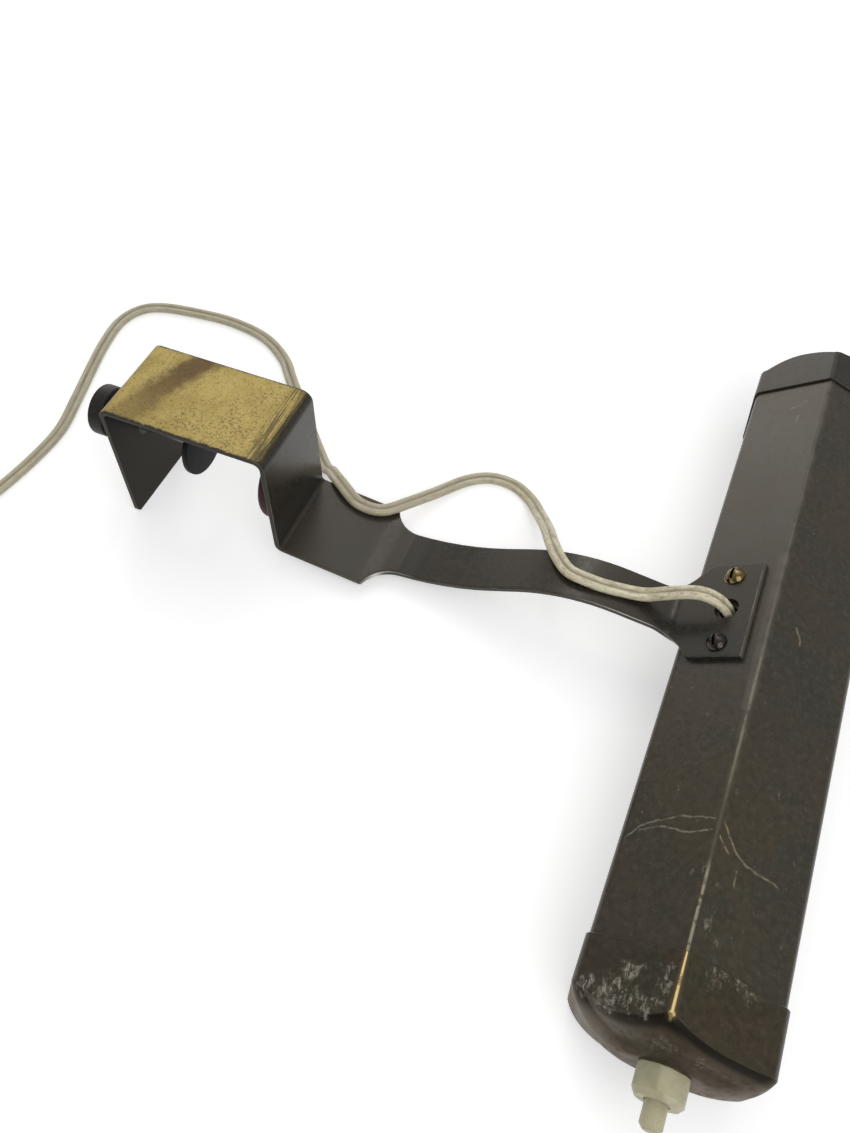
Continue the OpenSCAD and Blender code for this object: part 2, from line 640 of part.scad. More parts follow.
// The least gap between two turns of the coil, on its points, past the tips, slants or flats
loop_points = 360 / coil_step;
slant = unit([cord_t / 2, cord_w / 4]);
function turn_gap(p, q) =
    let (across = norm([p[0] - q[0], p[1] - q[1]]) - cord_w, up = abs(p[2] - q[2]))
    max(across, slant * [across, up], up - cord_t);
coil_gap = min([for (i = [1:len(coil_points) - 1], j = [i + loop_points / 2:1:len(coil_points) - 1])
    turn_gap(coil_points[i], coil_points[j])]);
echo(coil_gap = coil_gap);

module cord_coil() color(flex) swept(coil_points, coil_flat, [0, -1, 0], heading);

tie_at = 150;
tie_w = 6;
tie_t = 0.8;
tie_side = 0.9;
module coil_tie() color(flex) {
    inner_n = (360 - tie_at) / 360;
    r_max = coil_radius(inner_n) + cord_w / 2 + tie_side;
    r_min = coil_radius(inner_n + floor(coil_turns + 0.5 - inner_n)) - cord_w / 2 - tie_side;
    room = [r_max - r_min, layer_z + cord_t + 0.8];
    translate(coil_centre) rotate(tie_at) translate([(r_min + r_max) / 2, tie_w / 2, layer_z / 2])
        rotate([90, 0, 0]) linear_extrude(tie_w) difference() {
            square(room + 2 * [tie_t, tie_t], center = true);
            square(room, center = true);
        }
}

// The plug on the cord's end

plug_len = 34;
plug_half = 13;
plug_t = 13.4;
pin_r = 2;
pin_len = 19;
pin_half = 9.3;
module on_plug() translate([plug_at[0], plug_at[1], plug_at[2]])
    rotate(atan2(heading[1], heading[0])) children();

module plug_body() color(ivory) on_plug() difference() {
    translate([0, 0, -plug_t / 2]) linear_extrude(plug_t)
        polygon(rounded([[0, -5], [0, 5], [10, 9], [18, plug_half], [plug_len, plug_half - 0.5],
            [plug_len, 0.5 - plug_half], [18, -plug_half], [10, -9]],
            [2, 2, 6, 6, 3, 3, 6, 6], fine_step));
    for (s = [-1, 1]) translate([plug_len - 8, s * pin_half, 0]) rotate([0, 90, 0])
        cylinder(r = pin_r + run_clear, h = 9);
}

module plug_pins() color(steel) on_plug() for (s = [-1, 1])
    translate([plug_len - 7.9, s * pin_half, 0]) rotate([0, 90, 0]) {
        cylinder(r = pin_r, h = 7.9 + pin_len - 1);
        translate([0, 0, 7.9 + pin_len - 1]) cylinder(r1 = pin_r, r2 = pin_r - 0.8, h = 1);
    }

arm_bracket();
screw_bush();
clamp_screw();
clamp_knob();
pressure_pad();
jaw_pad();
shade();
switch_end_cap();
far_end_cap();
bracket_screws();
bracket_washers();
bracket_nuts();
switch_body();
switch_collar();
switch_button();
switch_terminals();
holder_bracket();
lampholder();
holder_nut();
holder_terminals();
lamp_cap();
lamp_glass();
switch_lead();
holder_lead();
link_lead();
cord();
cord_coil();
coil_tie();
plug_body();
plug_pins();
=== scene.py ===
from math import acos, ceil, cos, exp, log, pi, radians, sin, sqrt, tan

import bmesh
import bpy
from mathutils import Matrix, Vector


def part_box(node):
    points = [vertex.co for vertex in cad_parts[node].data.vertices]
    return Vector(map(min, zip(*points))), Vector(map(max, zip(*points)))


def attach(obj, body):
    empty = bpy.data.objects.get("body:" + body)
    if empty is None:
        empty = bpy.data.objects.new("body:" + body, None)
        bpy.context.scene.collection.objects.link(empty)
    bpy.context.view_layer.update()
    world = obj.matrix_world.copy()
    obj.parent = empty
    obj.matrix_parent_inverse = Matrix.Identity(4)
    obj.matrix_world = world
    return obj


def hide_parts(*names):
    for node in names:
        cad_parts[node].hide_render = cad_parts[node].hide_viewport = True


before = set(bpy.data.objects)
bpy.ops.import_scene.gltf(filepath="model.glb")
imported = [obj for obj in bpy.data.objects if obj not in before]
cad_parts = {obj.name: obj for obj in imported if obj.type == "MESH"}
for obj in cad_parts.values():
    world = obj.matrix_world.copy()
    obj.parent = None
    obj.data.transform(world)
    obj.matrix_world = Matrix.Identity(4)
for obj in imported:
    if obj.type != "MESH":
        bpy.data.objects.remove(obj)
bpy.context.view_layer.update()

# Sizes are millimetres in the part's own frame: +X to the shade, +Y away from the switch, +Z up.
MM = 0.001
STRIP_T = 2
HALF_T = STRIP_T / 2
STRIP_W = 38
JAW_X = -31.5
JAW_MID = JAW_X - HALF_T
FLANGE_X = 31.5
FLANGE_MID = FLANGE_X + HALF_T
FLANGE_OUT = FLANGE_X + STRIP_T
Z_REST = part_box("arm_bracket")[0].z / MM
FLANGE_DROP = 46
STEP_LEN = 33.5
STEP_FALL = 3.8
SCREW_Z = -22

# The shade's section as virtual corners, seen along +Y
SLOPE_LEFT = radians(35.6)
SLOPE_RIGHT = radians(22.8)
ROOF_LEFT = 29.6
ROOF_RIGHT = 33.1
WALL_LEAN = radians(4)
CAP_T = 0.8
SEAT = 0.1
RIDGE = Vector((FLANGE_OUT + 175, Z_REST + 44.9))
SECTION_R = (2.5, 3, 2, 3, 2.5)
SHADE_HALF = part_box("far_end_cap")[1].y / MM
SLEEVE_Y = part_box("far_end_cap")[0].y / MM
AXIS = Vector((RIDGE.x + 5, Z_REST + 23))

# The plate on the roof's left face
DOWN = -Vector((cos(SLOPE_LEFT), sin(SLOPE_LEFT)))
DOWN_RIGHT = Vector((cos(SLOPE_RIGHT), -sin(SLOPE_RIGHT)))
OUT = Vector((-sin(SLOPE_LEFT), cos(SLOPE_LEFT)))
PLATE_FROM = 5.9
PLATE_TO = 34.2
PLATE_W = 40
SCREWS_AT = 15.4
SCREWS_Y = 14.25
HOLE_AT = 15.2
HOLE_R = 4.2
HOLE_TOP = RIDGE + HOLE_AT * DOWN + STRIP_T * OUT
SAG = Vector((FLANGE_MID + 62.7, Z_REST + 5.8))
CREST = Vector((FLANGE_MID + 109.9, Z_REST + 29.9))

# The flat twin cord
CORD_W = 5.4
CORD_T = 2.7
CORE_R = CORD_T / 2


# Points in a plane

SQUARE = ((-1, -1), (1, -1), (1, 1), (-1, 1))


def left_of(v):
    return Vector((-v.y, v.x))


def turned(v, angle):
    c, s = cos(angle), sin(angle)
    return Vector((v.x * c - v.y * s, v.x * s + v.y * c))


def arc_corner(a, b, c, radius, step):
    """The corner b between a and c as an arc, one point for each step of its turn."""
    u, v = (a - b).normalized(), (c - b).normalized()
    half = acos(max(-1, min(1, u.dot(v)))) / 2
    if radius <= 0 or half > radians(89.9):
        return [b.copy()]
    centre = b + (u + v).normalized() * (radius / sin(half))
    start = b + u * (radius / tan(half)) - centre
    side = -1 if u.x * v.y - u.y * v.x > 0 else 1
    turn = pi - 2 * half
    n = max(2, ceil(turn / step))
    return [centre + turned(start, side * turn * i / n) for i in range(n + 1)]


def rounded(points, radii, step):
    """An outline with rounded corners, or a line when its ends have no radius."""
    n = len(points)
    outline = []
    for i in range(n):
        outline += arc_corner(points[i - 1], points[i], points[(i + 1) % n], radii[i], step)
    return outline


def grown(points, d):
    """A closed outline moved by d to the left of its edges."""
    n = len(points)
    moved = []
    for i in range(n):
        n0 = left_of((points[i] - points[i - 1]).normalized())
        n1 = left_of((points[(i + 1) % n] - points[i]).normalized())
        moved.append(points[i] + (n0 + n1) * (d / (1 + n0.dot(n1))))
    return moved


def divided(line, longest):
    """The line with points added so that no span is longer than longest(middle of the span)."""
    result = [line[0]]
    for a, b in zip(line, line[1:]):
        n = max(1, ceil((b - a).length / longest((a + b) / 2)))
        result += [a.lerp(b, i / n) for i in range(1, n + 1)]
    return result


def smooth_line(points, parts):
    """A smooth curve through the points, with parts spans between neighbours."""
    last = len(points) - 1
    line = []
    for i in range(last):
        p0, p1 = points[max(i - 1, 0)], points[i]
        p2, p3 = points[i + 1], points[min(i + 2, last)]
        for k in range(parts):
            t = k / parts
            line.append(0.5 * (2 * p1 + (p2 - p0) * t + (2 * p0 - 5 * p1 + 4 * p2 - p3) * t ** 2
                               + (3 * p1 - p0 - 3 * p2 + p3) * t ** 3))
    return line + [points[last].copy()]


def way_at(line, i):
    """Which way a line runs at its point i."""
    return (line[min(i + 1, len(line) - 1)] - line[max(i - 1, 0)]).normalized()


def section_corners():
    """The shade's outline: rim, eave, ridge, eave, rim."""
    rim_z = Z_REST + CAP_T + SEAT
    left, right = RIDGE + ROOF_LEFT * DOWN, RIDGE + ROOF_RIGHT * DOWN_RIGHT
    lean = tan(WALL_LEAN)
    rim_left = Vector((left.x + lean * (left.y - rim_z), rim_z))
    rim_right = Vector((right.x - lean * (right.y - rim_z), rim_z))
    return [rim_left, left, RIDGE.copy(), right, rim_right]


SECTION = section_corners()


# Camera, at the photograph's place

CAMERA_AT = Vector((0.1695, -0.2021, 0.25477))
CAMERA_LOOK = Vector((-0.22041, 0.5342, -0.81612))
CAMERA_RIGHT = Vector((0.92221, 0.38668, 0.00404))
LENS = 30.99


def make_camera():
    look = CAMERA_LOOK.normalized()
    right = (CAMERA_RIGHT - look * CAMERA_RIGHT.dot(look)).normalized()
    data = bpy.data.cameras.new("camera")
    data.lens = LENS
    data.clip_start = 0.01
    camera = add_object("camera", data)
    turn = Matrix((right, right.cross(look), -look)).transposed().to_4x4()
    camera.matrix_world = Matrix.Translation(CAMERA_AT) @ turn
    bpy.context.scene.camera = camera


# Meshes

# Edges that turn by more degrees than this stay sharp
SHARP = 35


def add_object(name, data):
    thing = bpy.data.objects.new(name, data)
    bpy.context.scene.collection.objects.link(thing)
    return thing


def solid_mesh(name, verts, faces):
    """A mesh from points in millimetres, with its faces turned outward."""
    mesh = bpy.data.meshes.new(name)
    mesh.from_pydata([tuple(v * MM) for v in verts], [], faces)
    mesh.validate()
    bm = bmesh.new()
    bm.from_mesh(mesh)
    bmesh.ops.recalc_face_normals(bm, faces=bm.faces)
    bm.to_mesh(mesh)
    bm.free()
    return mesh


def make_piece(name, solid, body, slot, *nodes, sharp=SHARP):
    """A smooth-shaded piece from points and faces, which stands for CAD nodes."""
    piece = add_object(name, solid_mesh(name, *solid))
    shade_smooth(piece.data, sharp)
    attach(piece, body)
    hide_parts(*nodes)
    return piece


def mark(piece, name, shares):
    """Gives each point of a piece a share that its material reads."""
    piece.data.attributes.new(name, "FLOAT", "POINT").data.foreach_set("value", shares)


def shade_smooth(mesh, sharp=SHARP):
    mesh.shade_smooth()
    mesh.set_sharp_from_angle(angle=radians(sharp))


def loft(rings, closed_ends=True):
    """Points and faces of a skin through rings of equally many points."""
    n = len(rings[0])
    verts = [p for ring in rings for p in ring]
    faces = []
    for i in range(len(rings) - 1):
        for j in range(n):
            a, b = i * n + j, i * n + (j + 1) % n
            faces.append((a, b, b + n, a + n))
    if closed_ends:
        faces.append(tuple(reversed(range(n))))
        faces.append(tuple(range(len(verts) - n, len(verts))))
    return verts, faces


def looped(rings):
    """Points and faces of a skin through rings and back to the first one."""
    verts, faces = loft(rings + rings[:1], closed_ends=False)
    count = len(rings) * len(rings[0])
    return verts[:count], [tuple(v % count for v in f) for f in faces]


def circle(place, radii, along):
    """A ring about an axis, with a radius for each of its points."""
    turn = 2 * pi / len(radii)
    return [place(r * cos(turn * k), r * sin(turn * k), along)
            for k, r in enumerate(radii)]


def lathe(profile, place, parts=96):
    """A solid turned about an axis: profile has (radius, height), place maps (across, up, along).

    Points on the axis are left out, so that flat ends close it.
    """
    return loft([circle(place, [r] * parts, along) for r, along in profile if r > 0])


def turned_profile(profile, radii):
    """A profile for turning with its corners rounded by the given radii."""
    return [tuple(p) for p in rounded([Vector(p) for p in profile], radii, radians(15))]


def eased(profile, radius):
    """A profile for turning with all corners between its ends rounded alike."""
    return turned_profile(profile, [0] + [radius] * (len(profile) - 2) + [0])


def cut(piece, cutters):
    """Takes the cutters' solids out of a piece."""
    for solid in cutters:
        tool = add_object("cutter", solid_mesh("cutter", *solid))
        step = piece.modifiers.new("cut", "BOOLEAN")
        step.operation = "DIFFERENCE"
        step.solver = "EXACT"
        step.object = tool
        apply_modifiers(piece)
        bpy.data.meshes.remove(tool.data)
    shade_smooth(piece.data)


def apply_modifiers(piece):
    graph = bpy.context.evaluated_depsgraph_get()
    graph.update()
    mesh = bpy.data.meshes.new_from_object(piece.evaluated_get(graph))
    old = piece.data
    piece.modifiers.clear()
    piece.data = mesh
    bpy.data.meshes.remove(old)


def join_close_points(piece, distance):
    """Joins points that a cut left too close together."""
    bm = bmesh.new()
    bm.from_mesh(piece.data)
    bmesh.ops.remove_doubles(bm, verts=bm.verts, dist=distance * MM)
    bmesh.ops.dissolve_degenerate(bm, edges=bm.edges, dist=distance * MM / 2)
    bm.to_mesh(piece.data)
    bm.free()
    shade_smooth(piece.data)
    weigh_normals(piece)


def weigh_normals(piece):
    piece.modifiers.new("even", "WEIGHTED_NORMAL").keep_sharp = True


def on_screw(across, up, along):
    return Vector((along, across, SCREW_Z + up))


def on_axis(across, up, along):
    return Vector((AXIS.x + across, along, AXIS.y + up))


def on_plate(down, y, height):
    """A point on the roof's left face: down from the ridge, along Y, and out of the face."""
    at = RIDGE + down * DOWN + height * OUT
    return Vector((at.x, y, at.y))


def rod(place, radius, start, end):
    return lathe([(radius, start), (radius, end)], place, 64)


# The cord, from its hole in the plate to its plug

FROM_HOLE = [(-3.3, 0, 2.6), (-8, 0, 3.7), (-13, 0, 2.2), (-20, 0, -2.6), (-27.5, -0.5, -6.9)]
FROM_CREST = [(13, -2, 0.7), (5, -2, 1), (-1.5, -0.3, 0.2), (-7, 5, -1), (-11.5, 13, -5),
              (-16.5, 24.5, -12.5)]
FROM_JAW = [(85.5, 39, 6), (79, 48, 1.7), (70.5, 52.5, 1.5), (60.5, 52.5, 1.5), (51.5, 47, 1.6),
            (43, 35, 3.4), (36.5, 24, 6.8), (28.5, 14.5, 8.5), (18.5, 13.3, 9.5),
            (8.5, 18.5, 11.3), (0.5, 25.5, 7.6), (-8.5, 34, 1.9), (-40.5, 69.5, 1.5),
            (-51.5, 82, 1.5), (-66.5, 91.5, 1.5), (-85.5, 95.2, 1.5), (-103.5, 94.3, 1.5),
            (-120.5, 91.5, 1.5), (-130, 86, 1.5), (-134.5, 75, 1.5), (-133, 59, 1.5),
            (-129, 42, 1.5), (-124, 23, 1.5), (-120, 5, 1.5), (-121, -15, 1.5),
            (-124.5, -35, 1.6), (-128, -50, 2.3), (-129.5, -59, 2.7), (-129.5, -64, 2.7)]
CORD_DEEP = 4.3
COIL_R = 36
COIL_PITCH = 6
COIL_TURNS = 3 + 1 / 3
COIL_ALL = 2 * COIL_TURNS + 0.5
COIL_STEP = 7.5
LAYER_Z = CORD_T + 0.6
TAIL = 28
PLUG_H = 7


def cord_route():
    inside = HOLE_TOP - CORD_DEEP * OUT
    route = [Vector((inside.x, 0, inside.y)), Vector((HOLE_TOP.x, 0, HOLE_TOP.y))]
    jaw = Vector((FLANGE_OUT, Z_REST))
    for base, steps in ((HOLE_TOP, FROM_HOLE), (CREST, FROM_CREST), (jaw, FROM_JAW)):
        route += [Vector((base.x + x, y, base.y + z)) for x, y, z in steps]
    return route


def coil_radius(n):
    return COIL_R - COIL_PITCH * min(COIL_TURNS, n, COIL_ALL - n)


def coil_centre():
    last = cord_route()[-1]
    return Vector((last.x - COIL_R, last.y - CORD_W, last.z))


def coil_point(n):
    angle = -2 * pi * n
    height = LAYER_Z * min(1, max(0, 2 * (n - COIL_TURNS)))
    r = coil_radius(n)
    return coil_centre() + Vector((r * cos(angle), r * sin(angle), height))


def plug_place():
    """Where the cord meets the plug, and its heading there."""
    angle = -2 * pi * COIL_ALL
    heading = Vector((sin(angle), -cos(angle), 0))
    at = coil_point(COIL_ALL) + TAIL * heading
    return Vector((at.x, at.y, Z_REST + PLUG_H)), heading


def cord_line():
    route = smooth_line(cord_route(), 6)
    turns = [coil_point(i * COIL_STEP / 360) for i in range(round(COIL_ALL * 360 / COIL_STEP) + 1)]
    plug, heading = plug_place()
    tail = [turns[-1], turns[-1] + 9 * heading + Vector((0, 0, 0.2)), plug - 7 * heading, plug]
    return route + turns + smooth_line(tail, 6)[1:]


def twin_profile():
    """Two round cores with a groove between them."""
    lobe = CORD_W / 2 - CORE_R
    points = []
    for side in (-1, 1):
        points.append((0, -side * 0.78))
        for k in range(13):
            a = radians(-126 + 21 * k)
            points.append((side * (lobe + CORE_R * cos(a)), side * CORE_R * sin(a)))
    return points


def make_cord():
    line = cord_line()
    profile = twin_profile()
    rings = []
    for i, at in enumerate(line):
        ahead = way_at(line, i)
        across = Vector((0, 0, 1)).cross(ahead).normalized()
        up = ahead.cross(across)
        rings.append([at + across * x + up * z for x, z in profile])
    flex = make_piece("flex", loft(rings), "lamp", "cord_sheath", "cord", "cord_coil", sharp=60)
    mark(flex, "groove", [max(0, 1 - abs(x) / 0.9) for x, z in profile] * len(line))
    mark(flex, "around", list(range(len(profile))) * len(line))
    mark(flex, "along", [i for i in range(len(line)) for p in profile])
    return flex, line


# The plug and the tie, on the coil outside the picture

PLUG_LEN = 34
PLUG_HALF = 13
PLUG_T = 13.4
PLUG_EDGE = 2.6
PLUG_STEPS = 6
PLUG_OUTLINE = [Vector(p) for p in (
    (0, -5), (0, 5), (10, 9), (18, PLUG_HALF), (PLUG_LEN, PLUG_HALF - 0.5),
    (PLUG_LEN, 0.5 - PLUG_HALF), (18, -PLUG_HALF), (10, -9))]
PLUG_ROUNDS = (3, 3, 8, 8, 4, 4, 8, 8)
TIE_AT = radians(150)
TIE_W = 6
TIE_T = 0.8
TIE_ROOM = 0.9
TIE_ROUND = 2.2


def make_plug():
    at, heading = plug_place()
    side = Vector((-heading.y, heading.x, 0))
    angles = [pi / 2 * k / PLUG_STEPS for k in range(PLUG_STEPS + 1)]
    rows = [(PLUG_EDGE * (1 - sin(a)), PLUG_T / 2 - PLUG_EDGE * (1 - cos(a)))
            for a in angles]
    rings = []
    for inset, height in [(inset, -height) for inset, height in rows] + rows[::-1]:
        ring = rounded(grown(PLUG_OUTLINE, -inset), PLUG_ROUNDS, radians(7))
        rings.append([at + heading * p.x + side * p.y + Vector((0, 0, height)) for p in ring])
    return make_piece("plug", loft(rings), "lamp", "ivory_moulding", "plug_body", sharp=50)


def make_tie():
    first = 1 - TIE_AT / (2 * pi)
    room = CORD_W / 2 + TIE_ROOM
    r_max = coil_radius(first) + room
    r_min = coil_radius(first + int(COIL_TURNS + 0.5 - first)) - room
    half_r = (r_max - r_min) / 2 + TIE_T
    half_z = (LAYER_Z + CORD_T + 0.8) / 2 + TIE_T
    radial = Vector((cos(TIE_AT), sin(TIE_AT), 0))
    along = Vector((-radial.y, radial.x, 0))
    middle = coil_centre() + Vector((0, 0, LAYER_Z / 2)) + radial * ((r_min + r_max) / 2)
    box = [Vector((x * half_r, z * half_z)) for x, z in SQUARE]
    rings = []
    for inset, ends in ((0, (-0.5, 0.5)), (TIE_T, (0.5, -0.5))):
        outline = rounded(grown(box, inset), [TIE_ROUND - inset] * 4, radians(9))
        for end in ends:
            rings.append([middle + radial * p.x + Vector((0, 0, p.y)) + along * (end * TIE_W)
                          for p in outline])
    return make_piece("tie", looped(rings), "lamp", "ivory_moulding", "coil_tie")


# The bent strip that is clamp and arm in one

ARM_LINE = [Vector(p) for p in (
    (JAW_MID, Z_REST), (JAW_MID, HALF_T), (FLANGE_MID, HALF_T),
    (FLANGE_MID, -FLANGE_DROP - HALF_T), (FLANGE_MID + STEP_LEN, -FLANGE_DROP - HALF_T - STEP_FALL),
    SAG, CREST, RIDGE + PLATE_TO * DOWN + HALF_T * OUT, RIDGE + PLATE_FROM * DOWN + HALF_T * OUT)]
ARM_BENDS = (0, 2.5, 3.5, 2.5, 20, 100, 62, 7, 0)
NOTCH_X = FLANGE_OUT + STEP_LEN + 0.4
FLARE_X = RIDGE.x + (PLATE_FROM + 18.5) * DOWN.x - 1
ARM_HALF = [Vector(p) for p in (
    (JAW_X - 10, STRIP_W / 2), (NOTCH_X, STRIP_W / 2), (NOTCH_X + 3.6, 10),
    (FLARE_X - 6.7, 9.25), (FLARE_X, PLATE_W / 2), (RIDGE.x, PLATE_W / 2))]
ARM_HALF_R = (0, 0.6, 13, 14, 2.5, 0)
EDGE_R = 0.38
BUSH_HOLE_R = 4.6
SCREW_HOLE_R = 2.2
RUB_W = 0.8


def half_width(x, plan):
    for a, b in zip(plan, plan[1:]):
        if a.x <= x <= b.x and b.x > a.x:
            return a.y + (b.y - a.y) * (x - a.x) / (b.x - a.x)
    return plan[-1].y


def strip_ring(w, h, r):
    """A strip's section: across and out, with rounded edges and a second row inside them."""
    rows = []
    inner = min(1.4, w / 2)
    for sx, sz, first in ((1, 1, 90), (1, -1, 0), (-1, -1, -90), (-1, 1, 180)):
        arc = [(sx * (w - r) + r * cos(radians(first - 22.5 * k)),
                sz * (h - r) + r * sin(radians(first - 22.5 * k))) for k in range(5)]
        row = (sx * (w - inner), sz * h)
        rows += [row] + arc if sx * sz > 0 else arc + [row]
    return rows


def make_arm():
    plan = rounded(ARM_HALF, ARM_HALF_R, radians(3))
    line = rounded(ARM_LINE, ARM_BENDS, radians(4))

    def longest(p):
        near_notch = NOTCH_X - 1.5 < p.x < NOTCH_X + 9
        near_flare = FLARE_X - 12 < p.x < FLARE_X + 2
        near_end = p.y < Z_REST + 2.4 and p.x < 0
        return 0.25 if near_notch or near_flare or near_end else 2

    line = divided(line, longest)
    line[-1:] = [line[-1] + DOWN * d for d in (1.2, EDGE_R, EDGE_R / 2, EDGE_R / 8, 0)]
    line[:1] = [line[0] + Vector((0, d)) for d in (0, EDGE_R / 8, EDGE_R / 2)]
    rings = []
    run = 0
    total = sum((b - a).length for a, b in zip(line, line[1:]))
    for i, at in enumerate(line):
        if i:
            run += (at - line[i - 1]).length
        out = left_of(way_at(line, i))
        eased_in = end_round(min(run, total - run), EDGE_R)
        w = half_width(at.x, plan) - end_round(run, 2) - eased_in
        rings.append([Vector((at.x + out.x * n, y, at.y + out.y * n))
                      for y, n in strip_ring(w, HALF_T - eased_in, EDGE_R)])
    arm = make_piece("arm_strip", loft(rings), "lamp", "patinated_brass", "arm_bracket")
    holes = [rod(on_screw, BUSH_HOLE_R, JAW_X - STRIP_T - 1, JAW_X + 1)]
    for down, y, radius in ((HOLE_AT, 0, HOLE_R), (SCREWS_AT, -SCREWS_Y, SCREW_HOLE_R),
                            (SCREWS_AT, SCREWS_Y, SCREW_HOLE_R)):
        holes.append(rod(lambda a, u, h: on_plate(down + a, y + u, h), radius, -1, 4))
    cut(arm, holes)
    mark_edges(arm, plan)
    weigh_normals(arm)
    return arm


def mark_edges(arm, plan):
    """Marks the strip with 1 along its edges, where hands rub it."""
    shares = []
    for v in arm.data.vertices:
        p = v.co / MM
        side = 1 - (half_width(p.x, plan) - abs(p.y)) / RUB_W
        up = PLATE_FROM - (Vector((p.x, p.z)) - RIDGE).dot(DOWN)
        end = 1.5 * (1 + up / RUB_W) if p.x > FLARE_X and p.z > CREST.y else 0
        shares.append(max(0, min(1, side), min(1.5, end)))
    mark(arm, "edge", shares)


def end_round(distance, radius):
    if distance >= radius:
        return 0
    return radius - sqrt(max(0, radius ** 2 - (radius - distance) ** 2))


# The end caps

CREASE_CORNER = (6, 5.5, 2.8, 1, 1)
CREASE_FACE = (6, 0, 0, 1, 3.5)
FACE_PARTS = 16
DOME_LEN = 3.6
DOME_IN = 7
DOME_SHIFT = 3.5
DOME_BREAK = radians(25)
DOME_END = radians(70)
DOME_R = 6
DOME_STEPS = 12
CROWN_H = 2.6
CROWN_FLAT = 0.63
CROWN_STEPS = 6
NECK_R = 5.1
LIP = 0.25


def cap_ring(g, d, e, x, y, f):
    """The section grown by g, drawn in by d, its corners eased by e, moved by x.

    It lies at y, less a share f of the crease's distance back.
    """
    corners = grown(SECTION, g - d)
    n = len(corners)
    arcs = [arc_corner(corners[i - 1], corners[i], corners[(i + 1) % n], SECTION_R[i] + g + e,
                       radians(5)) for i in range(n)]
    ring = []
    for i in range(n):
        after = (i + 1) % n
        ring += [Vector((p.x + x, y - f * CREASE_CORNER[i], p.y)) for p in arcs[i]]
        for k in range(1, FACE_PARTS):
            t = k / FACE_PARTS
            w = (2 * t - 1) ** 2
            back = CREASE_CORNER[i if t < 0.5 else after] * w + CREASE_FACE[i] * (1 - w)
            p = arcs[i][-1].lerp(arcs[after][0], t)
            ring.append(Vector((p.x + x, y - f * back, p.y)))
    return ring


def drawn_ring(ring, k, h):
    """A ring drawn together to the share k about the switch's axis, and raised by h."""
    return [Vector((AXIS.x + k * (p.x - AXIS.x), p.y + h, AXIS.y + k * (p.z - AXIS.y)))
            for p in ring]


def neck_ring(ring):
    """The round hole for the switch, with a point for each of the ring's."""
    hole = []
    for p in ring:
        at = AXIS + (Vector((p.x, p.z)) - AXIS).normalized() * NECK_R
        hole.append(Vector((at.x, p.y, at.y)))
    return hole


def cap_rings(g, y0, y1):
    b, c = sin(DOME_BREAK), cos(DOME_BREAK)
    rings = [cap_ring(g, 0, 0, 0, y0, 0)]
    for i in range(DOME_STEPS + 1):
        a = DOME_BREAK + (DOME_END - DOME_BREAK) * i / DOME_STEPS
        s = (sin(a) - b) / (sin(DOME_END) - b)
        q = (c - cos(a)) / (c - cos(DOME_END))
        rings.append(cap_ring(g, DOME_IN * q, DOME_R * s, DOME_SHIFT * q,
                              y1 - CROWN_H - DOME_LEN * (1 - s), 1 - s))
    shoulder = rings[-1]
    for i in range(1, CROWN_STEPS + 1):
        w = i / CROWN_STEPS
        rings.append(drawn_ring(shoulder, 1 - (1 - CROWN_FLAT) * w, CROWN_H * w * (1.4 - 0.4 * w)))
    return rings


def make_cap(name, node, side):
    outer = cap_rings(SEAT + CAP_T, SLEEVE_Y + LIP, SHADE_HALF)
    lip = cap_ring(SEAT + CAP_T - LIP, 0, 0, 0, SLEEVE_Y, 0)
    inner = cap_rings(SEAT, SLEEVE_Y, SHADE_HALF - CAP_T)
    if side < 0:
        outer.append(neck_ring(outer[-1]))
        inner.append(neck_ring(inner[-1]))
    rings = list(reversed(inner)) + [lip] + outer
    rings = [[Vector((p.x, side * p.y, p.z)) for p in ring] for ring in rings]
    solid = looped(rings) if side < 0 else loft(rings)
    cap = make_piece(name, solid, "lamp", "patinated_brass", node, sharp=30)
    down_dome = [0] * (len(inner) + 2)
    down_dome += [i / DOME_STEPS for i in range(len(outer) - 1)]
    mark(cap, "dome", [min(s, 2) for s in down_dome for p in rings[0]])
    weigh_normals(cap)
    return cap


# Screws, knob, pads and switch

HEAD_R = 3.7
HEAD_H = 2.7
HEAD_TOP = STRIP_T + HEAD_H
SHANK_R = 2
SHANK_END = -6.5
SLOT_DEEP = 1.2
SLOT = [Vector(p) for p in ((-0.48, -5), (-0.48, 5), (0.48, 5), (0.48, -5))]
COLLAR_R = 7
COLLAR_PARTS = 180
COLLAR_EASE = 0.12
COLLAR_TURN = radians(18)


def make_screws():
    screws = []
    for name, side, slot_turn in (("screw_far", 1, 8), ("screw_near", -1, -6)):
        def place(across, up, along):
            return on_plate(SCREWS_AT + across, side * SCREWS_Y + up, along)

        profile = [(SHANK_R - 0.4, SHANK_END), (SHANK_R, SHANK_END + 0.4),
                   (SHANK_R, STRIP_T + 0.02), (HEAD_R - 0.25, STRIP_T + 0.02),
                   (HEAD_R, STRIP_T + 0.3)]
        profile += [(HEAD_R * cos(radians(a)),
                     HEAD_TOP - HEAD_R + HEAD_R * sin(radians(a)))
                    for a in range(20, 90, 5)]
        screw = make_piece(name, lathe(profile, place, 72), "lamp", "worn_brass", "bracket_screws")
        slot = [turned(p, radians(slot_turn)) for p in SLOT]
        cut(screw, [loft([[place(p.x, p.y, h) for p in slot]
                          for h in (HEAD_TOP - SLOT_DEEP, HEAD_TOP + 1)])])
        join_close_points(screw, 0.02)
        screws.append(screw)
    return screws


def span(node, axis):
    """Where a CAD node starts and ends along an axis, in millimetres."""
    return [v[axis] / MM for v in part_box(node)]


